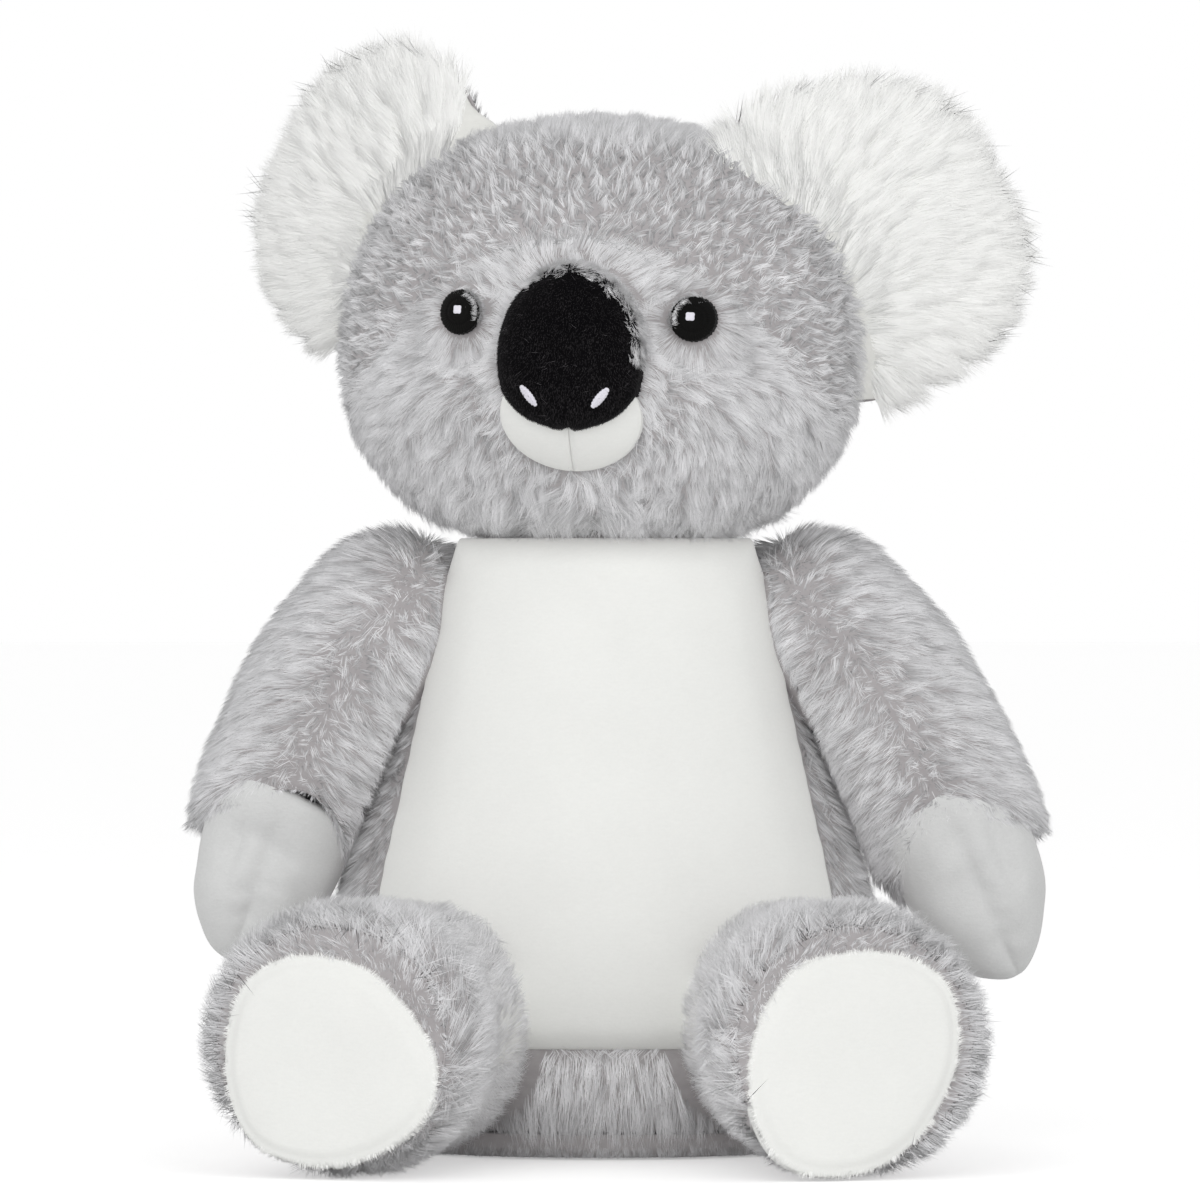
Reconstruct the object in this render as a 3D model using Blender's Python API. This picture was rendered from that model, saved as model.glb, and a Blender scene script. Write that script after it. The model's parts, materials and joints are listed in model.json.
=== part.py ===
"""Seated plush koala, built from its sewn covers, its stuffing and the zip in its seat.

Metres, +Z up. The koala faces -Y and the origin is the middle of its flat seat. Left and right are the sides
that a person facing the koala sees: left is -X. Each stuffed form is a stack of rings along its own axis. A
cover is such a form with a wall, and the stuffing fills what the wall leaves.
"""
import math
from typing import NamedTuple

import bmesh
import bpy
from mathutils import Euler, Matrix, Vector

# Room between pieces that touch, and the fabrics with their pile
SEAT_GAP = 0.0003
PLUSH = 0.006
VELOUR = 0.0025

# Body: a bag that swells above the seat and ends in the round dome that the head turns on
BODY_HEIGHT = 0.202
BODY_WIDTH = 0.170
BODY_DEPTH = 0.134
DOME_RADIUS = 0.070
DOME_RISE = 0.020
NECK_BORE = 0.022
DOME_STEPS = 4
BODY_SHARES = (
    (0.000, 0.753, 0.716),
    (0.019, 0.830, 0.812),
    (0.052, 0.905, 0.890),
    (0.115, 0.968, 0.951),
    (0.230, 1.000, 0.996),
    (0.412, 0.988, 0.996),
    (0.577, 0.900, 0.948),
    (0.725, 0.788, 0.873),
    (0.868, 0.680, 0.790),
    (0.956, 0.615, 0.742),
)

# Belly panel, an outline of (height share, half width share) of the body
PANEL_SHARES = (
    (0.168, 0.500),
    (0.195, 0.680),
    (0.255, 0.800),
    (0.376, 0.850),
    (0.535, 0.776),
    (0.688, 0.700),
    (0.782, 0.640),
    (0.866, 0.575),
    (0.936, 0.430),
)

# Base: two panels that close the body below, with the zip in the slot between them
BASE_THICKNESS = 0.008
ZIP_SLOT = 0.010
ZIP_BEHIND = 0.014
TAPE_LENGTH = 0.090
TAPE_WIDTH = 0.011
TAPE_THICKNESS = 0.0007
TAPE_PART = 0.0006
CHAIN_LENGTH = 0.078
CHAIN_WIDTH = 0.0046
CHAIN_THICKNESS = 0.0019
CHAIN_SPINE = 0.0016
TOOTH_COUNT = 13
STOP_LENGTH = 0.002
SLIDER_LENGTH = 0.011
SLIDER_PLATE = 0.0009
SLIDER_WALL = 0.0010
BAIL_LENGTH = 0.0064
BAIL_WIDTH = 0.0020
BAIL_THICKNESS = 0.0008
BAIL_SLOT = 0.0015
PULL_LENGTH = 0.017
PULL_WIDTH = 0.0060
PULL_THICKNESS = 0.0008
PULL_BAR = 0.0010
PULL_HOLE = 0.0044

# Head: wider than tall, with full cheeks and a muzzle
HEAD_HEIGHT = 0.133
HEAD_WIDTH = 0.166
HEAD_DEPTH = 0.124
HEAD_SETTLE = 0.014
HEAD_FORWARD = 0.005
HEAD_ASIDE = 0.0022
MUZZLE_REACH = 0.009
MUZZLE_HEIGHT_SHARE = 0.40
MUZZLE_SPREAD_SHARE = 0.24
MUZZLE_POWER = 3
HEAD_TURN = math.radians(-9.3)
HEAD_LEAN = math.radians(2.0)
HEAD_SHARES = (
    (0.000, 0.000, 0.000),
    (0.022, 0.430, 0.420),
    (0.075, 0.720, 0.690),
    (0.145, 0.840, 0.830),
    (0.240, 0.945, 0.945),
    (0.370, 1.000, 1.000),
    (0.500, 1.000, 1.000),
    (0.620, 0.968, 0.975),
    (0.725, 0.895, 0.905),
    (0.810, 0.790, 0.810),
    (0.885, 0.650, 0.675),
    (0.950, 0.445, 0.465),
    (1.000, 0.000, 0.000),
)

# Ears: flat round pads sewn to the head's side seams
EAR_LENGTH = 0.102
EAR_WIDTH = 0.098
EAR_FRONT = 0.013
EAR_BACK = 0.011
EAR_OUT = 0.0585
EAR_BEHIND = 0.004
EAR_UP = {"left": 0.074, "right": 0.070}
EAR_REACH = 0.027
EAR_TILT = math.radians(29)
EAR_TURN = {"left": math.radians(34.0), "right": math.radians(27.5)}

# Face
NOSE_WIDTH = 0.0435
NOSE_HEIGHT = 0.050
NOSE_RISE = 0.009
NOSE_TUCK = 0.012
NOSE_UP = 0.044
NOSE_SHARES = (
    (-90, 0.496),
    (-70, 0.500),
    (-49, 0.527),
    (-32, 0.540),
    (-15, 0.516),
    (0, 0.498),
    (25, 0.488),
    (45, 0.482),
    (70, 0.488),
    (90, 0.500),
)
NOSTRIL_APART = 0.022
NOSTRIL_LENGTH = 0.008
NOSTRIL_WIDTH = 0.0024
NOSTRIL_DROP = 0.015
NOSTRIL_RISE = 0.0009
NOSTRIL_SLANT = math.radians(40)
CHIN_WIDTH = 0.043
CHIN_HEIGHT = 0.033
CHIN_RISE = 0.0035
CHIN_TUCK = 0.014
CHIN_UP = 0.0235
EYE_DIAMETER = 0.013
EYES_APART = 0.071
EYE_UP = 0.054
EYE_RISE = 0.0014
EYE_TURN = math.radians(24)
GLINT_DIAMETER = 0.0028
GLINT_RISE = 0.0006
PATCH_REACH = 0.020

# Arms: sleeves with a ball end in the shoulder, and smooth paws
ARM_LENGTH = 0.124
ARM_RADIUS = 0.031
ARM_FLATNESS_SHARE = 0.92
ARM_BOW = 0.006
ARM_BOW_POWER = 0.6
ARM_BORE = 0.016
SLEEVE_LENGTH = 0.070
SHOULDER_DROP = 0.008
SHOULDER_STANDOFF_SHARE = 0.31
SHOULDER_FORWARD = 0.004
ARM_SPREAD = {"left": math.radians(25.5), "right": math.radians(29.5)}
SLEEVE_SHARES = ((0.30, 0.995), (0.58, 1.0), (0.82, 0.975), (1.0, 0.90))
PAW_TUCK = 0.010
PAW_SHARES = ((0.0, 1.0), (0.30, 1.0), (0.55, 0.975), (0.75, 0.85), (0.90, 0.58), (0.97, 0.33), (1.0, 0.0))

# Legs: short thick forms with a ball end in the hip, and flat soles
LEG_LENGTH = 0.086
LEG_WIDTH = 0.090
LEG_HEIGHT = 0.082
HIP_RADIUS = 0.037
HIP_BORE = 0.018
HIPS_APART = 0.104
HIP_FORWARD_SHARE = 0.90
FOOT_LIFT = 0.0005
LEG_SPREAD = {"left": math.radians(20.0), "right": math.radians(14.5)}
LEG_SHARES = ((0.28, 0.87, 0.93), (0.56, 0.965, 0.985), (0.78, 1.0, 1.0), (0.92, 0.95, 0.955), (1.0, 0.86, 0.87))
SOLE_DEPTH = 0.004
SOLE_RISE = 0.0016

BALL_STEPS = 3
PAD_SHARES = ((0.0, 1.0), (0.40, 0.97), (0.70, 0.83), (0.90, 0.58), (1.0, 0.0))

# Facets
BODY_SEGMENTS = 22
LIMB_SEGMENTS = 14
PAD_SEGMENTS = 14
SOCKET_SEGMENTS = 18
SWING_SEGMENTS = 32
DOME_SEGMENTS = 32
SMOOTH_ANGLE = math.radians(40)
OVERRUN = 0.050

SIDES = {"left": -1, "right": 1}

# Colours as linear RGB, with roughness and metallic
FINISHES = {
    "grey_plush": ((0.50, 0.50, 0.52), 0.95, 0.0),
    "white_plush": ((0.84, 0.84, 0.83), 0.95, 0.0),
    "white_velour": ((0.82, 0.83, 0.80), 0.85, 0.0),
    "grey_velour": ((0.58, 0.59, 0.59), 0.85, 0.0),
    "black_velour": ((0.006, 0.006, 0.008), 0.80, 0.0),
    "black_thread": ((0.010, 0.009, 0.008), 0.55, 0.0),
    "white_thread": ((0.80, 0.79, 0.86), 0.50, 0.0),
    "stuffing": ((0.85, 0.85, 0.83), 1.0, 0.0),
    "zip_tape": ((0.42, 0.42, 0.44), 0.90, 0.0),
    "zip_nylon": ((0.45, 0.45, 0.47), 0.40, 0.0),
    "zip_metal": ((0.55, 0.55, 0.56), 0.35, 1.0),
}


class Ring(NamedTuple):
    """One cross-section of a form: its height along the form's axis, its half sizes and how far it is moved."""
    height: float
    half_width: float
    half_depth: float
    aside: float = 0.0
    behind: float = 0.0
    bulge: float = 0.0


def height(ring):
    return ring.height


def width(ring):
    return ring.half_width


def between(low, high, share):
    """The ring at a share of the way from one ring to the next."""
    return Ring(*(a + (b - a) * share for a, b in zip(low, high)))


def trimmed(rings, measure, least=None, most=None):
    """The stretch of a stack where the measure is within its limits, ending on interpolated rings."""
    for limit, sign in ((least, 1), (most, -1)):
        if limit is None:
            continue
        kept = []
        for index, here in enumerate(rings):
            room = sign * (measure(here) - limit)
            if room >= 0:
                kept.append(here)
            if index + 1 < len(rings):
                there = rings[index + 1]
                room_there = sign * (measure(there) - limit)
                if room * room_there < 0:
                    kept.append(between(here, there, room / (room - room_there)))
        rings = kept
    return rings


def grown(rings, distance):
    """The form with its surface moved outwards by a distance along the profile's normal, or inwards below 0."""
    result = []
    last = len(rings) - 1
    for index, ring in enumerate(rings):
        before = rings[max(index - 1, 0)]
        after = rings[min(index + 1, last)]
        if ring.half_width == 0:
            result.append(ring._replace(height=ring.height + (distance if index else -distance)))
            continue
        rise = after.height - before.height
        swell = (after.half_width + after.half_depth - before.half_width - before.half_depth) / 2
        slope = math.hypot(rise, swell)
        out = distance * rise / slope
        result.append(ring._replace(height=ring.height - distance * swell / slope,
                                    half_width=ring.half_width + out, half_depth=ring.half_depth + out))
    return result


def ring_points(ring, segments, outline=None):
    """The ring's points: an ellipse, or an outline given as a radius for each angle, with its bulge at -Y."""
    if ring.half_width <= 0:
        return [Vector((ring.aside, ring.behind, ring.height))]
    points = []
    for index in range(segments):
        angle = math.tau * index / segments
        reach = outline(angle) if outline else 1.0
        front = max(0.0, -math.sin(angle)) ** MUZZLE_POWER
        x = ring.aside + ring.half_width * reach * math.cos(angle)
        y = ring.behind + ring.half_depth * reach * math.sin(angle) - ring.bulge * front
        points.append(Vector((x, y, ring.height)))
    return points


def skin(rings, segments, looped=False, outline=None):
    """A mesh over a stack of rings. Open ends get a flat face, and a looped stack closes on itself as a tube."""
    mesh = bmesh.new()
    rows = [[mesh.verts.new(point) for point in ring_points(ring, segments, outline)] for ring in rings]
    pairs = list(zip(rows, rows[1:]))
    if looped:
        pairs.append((rows[-1], rows[0]))
    for low, high in pairs:
        for index in range(segments):
            after = (index + 1) % segments
            corners = (low[index % len(low)], low[after % len(low)],
                       high[after % len(high)], high[index % len(high)])
            mesh.faces.new(list(dict.fromkeys(corners)))
    if not looped:
        for row in (rows[0], rows[-1]):
            if len(row) > 1:
                mesh.faces.new(row)
    bmesh.ops.recalc_face_normals(mesh, faces=mesh.faces)
    return mesh


def slab(low, high):
    """A box between two corners."""
    low, high = Vector(low), Vector(high)
    mesh = bmesh.new()
    bmesh.ops.create_cube(mesh, size=1)
    bmesh.ops.scale(mesh, vec=high - low, verts=mesh.verts)
    bmesh.ops.translate(mesh, vec=(low + high) / 2, verts=mesh.verts)
    return mesh


def prism(outline, depth):
    """A flat outline of (x, y) points carried from height 0 to a height."""
    mesh = bmesh.new()
    face = mesh.faces.new([mesh.verts.new((x, y, 0)) for x, y in outline])
    swept = bmesh.ops.extrude_face_region(mesh, geom=[face])["geom"]
    moved = [item for item in swept if isinstance(item, bmesh.types.BMVert)]
    bmesh.ops.translate(mesh, vec=(0, 0, depth), verts=moved)
    bmesh.ops.recalc_face_normals(mesh, faces=mesh.faces)
    return mesh


def ball_reach(radius, segments):
    """How far the corners of a ball reach whose facets all stay outside the given radius."""
    return radius / math.cos(math.pi / segments) ** 2


def balls(spots, segments):
    """A ball at each (place, radius), whose facets all stay outside its radius."""
    mesh = bmesh.new()
    for place, radius in spots:
        bmesh.ops.create_uvsphere(mesh, u_segments=segments, v_segments=segments // 2,
                                  radius=ball_reach(radius, segments), matrix=Matrix.Translation(place))
    return mesh


def halved(mesh, sign, gap):
    """The half of a closed mesh on one side of its middle plane, short of it by half a gap."""
    parts = mesh.verts[:] + mesh.edges[:] + mesh.faces[:]
    cut = bmesh.ops.bisect_plane(mesh, geom=parts, plane_co=(sign * gap / 2, 0, 0), plane_no=(-sign, 0, 0),
                                 clear_outer=True)["geom_cut"]
    bmesh.ops.edgeloop_fill(mesh, edges=[item for item in cut if isinstance(item, bmesh.types.BMEdge)])
    bmesh.ops.recalc_face_normals(mesh, faces=mesh.faces)
    return mesh


def make_material(name, finish):
    colour, roughness, metallic = FINISHES[finish]
    material = bpy.data.materials.new(name)
    material.use_nodes = True
    shader = material.node_tree.nodes["Principled BSDF"]
    shader.inputs["Base Color"].default_value = (*colour, 1)
    shader.inputs["Roughness"].default_value = roughness
    shader.inputs["Metallic"].default_value = metallic
    return material


def hinge(name, place, turn=(0, 0, 0), parent=None):
    """An empty that carries the pieces turning about it."""
    empty = bpy.data.objects.new(name, None)
    empty.location = place
    empty.rotation_euler = turn
    empty.parent = parent
    bpy.context.scene.collection.objects.link(empty)
    return empty


def add(name, mesh, parent, finish=None, place=None):
    """A piece made from a mesh, or a cutter where it has no finish."""
    data = bpy.data.meshes.new(name)
    mesh.to_mesh(data)
    mesh.free()
    piece = bpy.data.objects.new(name, data)
    piece.parent = parent
    if place is not None:
        piece.matrix_basis = place
    bpy.context.scene.collection.objects.link(piece)
    if finish:
        data.shade_smooth()
        data.set_sharp_from_angle(angle=SMOOTH_ANGLE)
        data.materials.append(make_material(name, finish))
    else:
        piece.hide_render = True
        piece.display_type = "WIRE"
    return piece


def combine(piece, others, operation="DIFFERENCE"):
    for other in others:
        modifier = piece.modifiers.new(other.name, "BOOLEAN")
        modifier.operation = operation
        modifier.solver = "EXACT"
        modifier.object = other
    return piece


def facing(place, turn=0.0, tilt=0.0):
    """A frame whose own Z points to the koala's front, tilted about that and then turned about the upright."""
    return Matrix.Translation(place) @ Euler((math.pi / 2, tilt, turn)).to_matrix().to_4x4()


def pad(half_width, half_height, rise, segments, outline=None, tuck=0.0):
    """A domed pad: rings that shrink towards its front, with a straight side below height 0."""
    rings = [Ring(rise * rise_share, half_width * size_share, half_height * size_share)
             for rise_share, size_share in PAD_SHARES]
    if tuck:
        rings.insert(0, rings[0]._replace(height=-tuck))
    return skin(rings, segments, outline=outline)


def body_rings():
    """The body from the seat up: the shares' swelling bag, then the arc of the neck dome."""
    waist = BODY_HEIGHT - DOME_RISE
    rings = [Ring(waist * up, BODY_WIDTH / 2 * wide, BODY_DEPTH / 2 * deep) for up, wide, deep in BODY_SHARES]
    start = math.acos(1 - DOME_RISE / DOME_RADIUS)
    centre = BODY_HEIGHT - DOME_RADIUS
    for step in range(DOME_STEPS):
        angle = start * (1 - step / DOME_STEPS)
        reach = DOME_RADIUS * math.sin(angle)
        rings.append(Ring(centre + DOME_RADIUS * math.cos(angle), reach, reach))
    rings.append(Ring(BODY_HEIGHT, 0, 0))
    return rings


def body_at(level):
    """The body's ring at a height."""
    return trimmed(body_rings(), height, least=level)[0]


def body_shell():
    """The body's cover, a tube that opens at the neck and above the base: its outer and then its inner rings."""
    outer, inner = (trimmed(trimmed(rings, width, least=NECK_BORE), height, least=BASE_THICKNESS + SEAT_GAP)
                    for rings in (body_rings(), grown(body_rings(), -PLUSH)))
    return outer + inner[::-1]


def head_rings(distance=0.0):
    """The head in its own frame, whose origin is the top of the neck dome."""
    rings = []
    for up, wide, deep in HEAD_SHARES:
        spread = (up - MUZZLE_HEIGHT_SHARE) / MUZZLE_SPREAD_SHARE
        rings.append(Ring(HEAD_HEIGHT * up - HEAD_SETTLE, HEAD_WIDTH / 2 * wide, HEAD_DEPTH / 2 * deep,
                          -HEAD_ASIDE, -HEAD_FORWARD, MUZZLE_REACH * math.exp(-spread * spread)))
    return grown(rings, distance)


def face_front(x, level):
    """How far forward, as -Y, the head's surface is at a place on the face."""
    ring = trimmed(head_rings(), height, least=level)[0]
    along = math.sqrt(1 - ((x - ring.aside) / ring.half_width) ** 2)
    return ring.behind - ring.half_depth * along - ring.bulge * along ** MUZZLE_POWER


def ball_rings(radius, bore):
    """The round end of a limb, from its bore to the limb's widest ring at height 0."""
    start = math.asin(bore / radius)
    rings = []
    for step in range(BALL_STEPS + 1):
        angle = start + (math.pi / 2 - start) * step / BALL_STEPS
        reach = radius * math.sin(angle)
        rings.append(Ring(-radius * math.cos(angle), reach, reach))
    return rings


def plug(radius, bore, wall):
    """The stuffing's round end: it fills the bore through the cover's wall."""
    reach = bore - SEAT_GAP
    outer = math.sqrt(radius ** 2 - bore ** 2)
    inner = math.sqrt((radius - wall - SEAT_GAP) ** 2 - bore ** 2)
    return [Ring(-radius, 0, 0), Ring(-outer, reach, reach), Ring(-inner, reach, reach)]


def sleeve_rings(side):
    """The sleeve along the arm, from its shoulder ball to its cuff, on a slightly bowed middle line."""
    flat = ARM_RADIUS * ARM_FLATNESS_SHARE
    rings = ball_rings(ARM_RADIUS, ARM_BORE)
    for along, size in SLEEVE_SHARES:
        level = SLEEVE_LENGTH * along
        rings.append(Ring(level, ARM_RADIUS * size, flat * size, arm_bow(side, level)))
    return rings


def arm_bow(side, level):
    share = max(0.0, level / ARM_LENGTH)
    return -SIDES[side] * ARM_BOW * math.sin(math.pi * share ** ARM_BOW_POWER)


def paw_rings(side):
    """The paw from inside the cuff to its tip."""
    cuff = sleeve_rings(side)[-1]
    root = SLEEVE_LENGTH - PAW_TUCK
    half_width = cuff.half_width - PLUSH - SEAT_GAP
    half_depth = cuff.half_depth - PLUSH - SEAT_GAP
    rings = []
    for along, size in PAW_SHARES:
        level = root + (ARM_LENGTH - root) * along
        rings.append(Ring(level, half_width * size, half_depth * size, arm_bow(side, level)))
    return rings


def leg_rings():
    """The leg from its hip ball to the rim round its sole. Its own Y is up."""
    rings = ball_rings(HIP_RADIUS, HIP_BORE)
    for along, wide, high in LEG_SHARES:
        rings.append(Ring(LEG_LENGTH * along, LEG_WIDTH / 2 * wide, LEG_HEIGHT / 2 * high))
    return rings


def shoulder_place(side):
    level = BODY_HEIGHT - SHOULDER_DROP - ARM_RADIUS
    out = body_at(level).half_width + ARM_RADIUS * SHOULDER_STANDOFF_SHARE
    return Vector((SIDES[side] * out, -SHOULDER_FORWARD, level))


def hip_place(side):
    return Vector((SIDES[side] * HIPS_APART / 2, -BODY_DEPTH / 2 * HIP_FORWARD_SHARE, LEG_HEIGHT / 2 + FOOT_LIFT))


def add_sockets(body):
    """The four round hollows of the body in which the limbs' ball ends turn, as one cutter."""
    arm = ball_reach(ARM_RADIUS + SEAT_GAP / 2, SWING_SEGMENTS) + SEAT_GAP
    spots = [(shoulder_place(side), arm) for side in SIDES]
    spots += [(hip_place(side), HIP_RADIUS + SEAT_GAP) for side in SIDES]
    return add("limb_sockets", balls(spots, SOCKET_SEGMENTS), body)


def panel_prism(distance):
    """The belly panel's outline, grown by a distance and carried through the front of the body."""
    right = [(BODY_WIDTH / 2 * wide + distance, BODY_HEIGHT * up) for up, wide in PANEL_SHARES]
    right[0] = (right[0][0], right[0][1] - distance)
    right[-1] = (right[-1][0], right[-1][1] + distance)
    outline = right + [(-x, level) for x, level in reversed(right)]
    return prism(outline, BODY_DEPTH)


def build_body(body, sockets):
    """The cover and its belly panel. Each is cut once, by the panel's outline joined with the limbs' hollows."""
    behind = facing((0, PLUSH / 2, 0))
    opening = add("panel_opening", panel_prism(SEAT_GAP), body, place=behind)
    combine(opening, [sockets], "UNION")
    combine(add("body_cover", skin(body_shell(), BODY_SEGMENTS, looped=True), body, "grey_plush"), [opening])
    outline = add("panel_outline", panel_prism(0.0), body, place=behind)
    combine(outline, [sockets])
    panel = add("belly_panel", skin(body_shell(), BODY_SEGMENTS, looped=True), body, "white_velour")
    combine(panel, [outline], "INTERSECT")

    floor = BASE_THICKNESS + TAPE_THICKNESS + 2 * SEAT_GAP
    filling = trimmed(grown(body_rings(), -PLUSH - SEAT_GAP), height, least=floor)
    filling = trimmed(filling, width, least=NECK_BORE - SEAT_GAP)
    throat = trimmed(body_rings(), width, most=NECK_BORE - SEAT_GAP)
    pod = add("body_pod", skin(filling + throat, BODY_SEGMENTS), body, "stuffing")
    combine(pod, [sockets])


def build_base(body, sockets):
    """The seat: the lowest slice of the body, one panel in front of the zip and one behind it."""
    rings = trimmed(body_rings(), height, most=BASE_THICKNESS)
    low = ZIP_BEHIND - ZIP_SLOT / 2
    high = ZIP_BEHIND + ZIP_SLOT / 2
    for name, near, far in (("base_front_panel", low, OVERRUN + BODY_DEPTH),
                            ("base_rear_panel", -OVERRUN - BODY_DEPTH, high)):
        side = slab((-BODY_WIDTH, near, -OVERRUN), (BODY_WIDTH, far, OVERRUN))
        cutter = add(name + "_cut", side, body)
        combine(add(name, skin(rings, BODY_SEGMENTS), body, "grey_plush"), [cutter, sockets])


def chain_outline():
    """The closed chain: a spine with teeth that stand out on both sides by turns."""
    pitch = CHAIN_LENGTH / TOOTH_COUNT
    start = -CHAIN_LENGTH / 2
    near = []
    for tooth in range(TOOTH_COUNT):
        left = start + pitch * tooth
        near += [(left, CHAIN_WIDTH / 2), (left + pitch / 2, CHAIN_WIDTH / 2),
                 (left + pitch / 2, CHAIN_SPINE / 2), (left + pitch, CHAIN_SPINE / 2)]
    far = [(-x, -y) for x, y in near]
    return near + far


def build_zip(body):
    """Tapes, chain and end stops, which stay on the body."""
    top = BASE_THICKNESS
    tape_low = top + SEAT_GAP
    for name, sign in (("zip_tape_front", -1), ("zip_tape_rear", 1)):
        edges = sorted((ZIP_BEHIND + sign * TAPE_PART / 2, ZIP_BEHIND + sign * (TAPE_PART / 2 + TAPE_WIDTH)))
        tape = slab((-TAPE_LENGTH / 2, edges[0], tape_low), (TAPE_LENGTH / 2, edges[1], tape_low + TAPE_THICKNESS))
        add(name, tape, body, "zip_tape")
    chain_place = Matrix.Translation((0, ZIP_BEHIND, top - CHAIN_THICKNESS))
    add("zip_chain", prism(chain_outline(), CHAIN_THICKNESS), body, "zip_nylon", chain_place)
    for name, sign in (("zip_stop_left", -1), ("zip_stop_right", 1)):
        ends = sorted((sign * (CHAIN_LENGTH / 2 + SEAT_GAP), sign * (CHAIN_LENGTH / 2 + SEAT_GAP + STOP_LENGTH)))
        stop = slab((ends[0], ZIP_BEHIND - CHAIN_WIDTH / 2, top - CHAIN_THICKNESS),
                    (ends[1], ZIP_BEHIND + CHAIN_WIDTH / 2, top))
        add(name, stop, body, "zip_metal")


def slider_place():
    """The middle of the slider's plate, at the zip's closed end, and the height of the pull's bar."""
    plate_top = BASE_THICKNESS - CHAIN_THICKNESS - SEAT_GAP
    out = CHAIN_LENGTH / 2 - SLIDER_LENGTH / 2
    return Vector((out, ZIP_BEHIND, plate_top - SLIDER_PLATE - BAIL_SLOT / 2))


def build_slider(body):
    """The slider hugs the chain from below, and its bail carries the pull."""
    carrier = hinge("slider_carrier", slider_place(), parent=body)
    plate_low = BAIL_SLOT / 2
    plate_top = plate_low + SLIDER_PLATE
    half = SLIDER_LENGTH / 2
    inner = CHAIN_WIDTH / 2 + SEAT_GAP
    outer = inner + SLIDER_WALL
    channel = [(-outer, plate_low), (outer, plate_low), (outer, plate_top + CHAIN_THICKNESS),
               (inner, plate_top + CHAIN_THICKNESS), (inner, plate_top), (-inner, plate_top),
               (-inner, plate_top + CHAIN_THICKNESS), (-outer, plate_top + CHAIN_THICKNESS)]
    along = Matrix.Translation((-half, 0, 0)) @ Matrix(((0, 0, 1, 0), (1, 0, 0, 0), (0, 1, 0, 0), (0, 0, 0, 1)))
    slider = add("zip_slider", prism(channel, SLIDER_LENGTH), carrier, "zip_metal", along)
    reach = BAIL_LENGTH / 2
    sink = SLIDER_PLATE / 2
    arch = [(-reach, plate_low + sink), (-reach, -plate_low - BAIL_THICKNESS),
            (reach, -plate_low - BAIL_THICKNESS), (reach, plate_low + sink),
            (reach - BAIL_THICKNESS, plate_low + sink), (reach - BAIL_THICKNESS, -plate_low),
            (BAIL_THICKNESS - reach, -plate_low), (BAIL_THICKNESS - reach, plate_low + sink)]
    across = Matrix.Translation((0, BAIL_WIDTH / 2, 0)) @ Matrix.Rotation(math.pi / 2, 4, "X")
    bail = add("slider_bail", prism(arch, BAIL_WIDTH), carrier, place=across)
    combine(slider, [bail], "UNION")

    thick = PULL_THICKNESS / 2
    wide = PULL_WIDTH / 2
    bar = PULL_BAR / 2
    hole = BAIL_WIDTH / 2 + PULL_THICKNESS
    pull = add("zip_pull", slab((bar - PULL_LENGTH, -wide, -thick), (bar, wide, thick)), carrier, "zip_metal")
    eye = slab((-bar - PULL_HOLE, -hole, -OVERRUN), (-bar, hole, OVERRUN))
    combine(pull, [add("pull_eye", eye, carrier)])


def build_head(head, body):
    dome_centre = (0, 0, BODY_HEIGHT - DOME_RADIUS)
    dome = add("neck_dome", balls([(dome_centre, DOME_RADIUS + SEAT_GAP)], DOME_SEGMENTS), body)
    cover = add("head_cover", skin(head_rings(), BODY_SEGMENTS), head, "grey_plush")
    hollow = add("head_hollow", skin(head_rings(-PLUSH), BODY_SEGMENTS), head)
    combine(cover, [hollow, dome])
    pod = add("head_pod", skin(head_rings(-PLUSH - SEAT_GAP), BODY_SEGMENTS), head, "stuffing")
    combine(pod, [dome])
    return add("head_seat", skin(head_rings(SEAT_GAP), BODY_SEGMENTS), head)


def build_ears(head, head_seat):
    """Each ear is two pads, front and back, that meet at the seam round its edge."""
    for side, sign in SIDES.items():
        root = (sign * EAR_OUT, EAR_BEHIND, EAR_UP[side])
        frame = facing(root, sign * EAR_TURN[side], -sign * EAR_TILT)
        middle = frame @ Matrix.Translation((sign * EAR_REACH, 0, SEAT_GAP / 2))
        behind = frame @ Matrix.Translation((sign * EAR_REACH, 0, -SEAT_GAP / 2)) @ Matrix.Rotation(math.pi, 4, "Y")
        for part, place, rise, finish in (("front", middle, EAR_FRONT, "white_plush"),
                                          ("back", behind, EAR_BACK, "grey_plush")):
            mesh = pad(EAR_WIDTH / 2, EAR_LENGTH / 2, rise, PAD_SEGMENTS + 4)
            combine(add(f"ear_{side}_{part}", mesh, head, finish, place), [head_seat])


def nose_outline(angle):
    """The nose's egg shape: its reach at an angle, as a share of twice its half sizes, from the table."""
    level = math.degrees(math.asin(math.sin(angle)))
    for (low, near), (high, far) in zip(NOSE_SHARES, NOSE_SHARES[1:]):
        if level <= high:
            share = (level - low) / (high - low)
            return 2 * (near + (far - near) * share)
    return 2 * NOSE_SHARES[-1][1]


def nose_mesh(distance):
    return pad(NOSE_WIDTH / 2 + distance, NOSE_HEIGHT / 2 + distance, NOSE_RISE + distance, PAD_SEGMENTS + 4,
               nose_outline, NOSE_TUCK)


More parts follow.
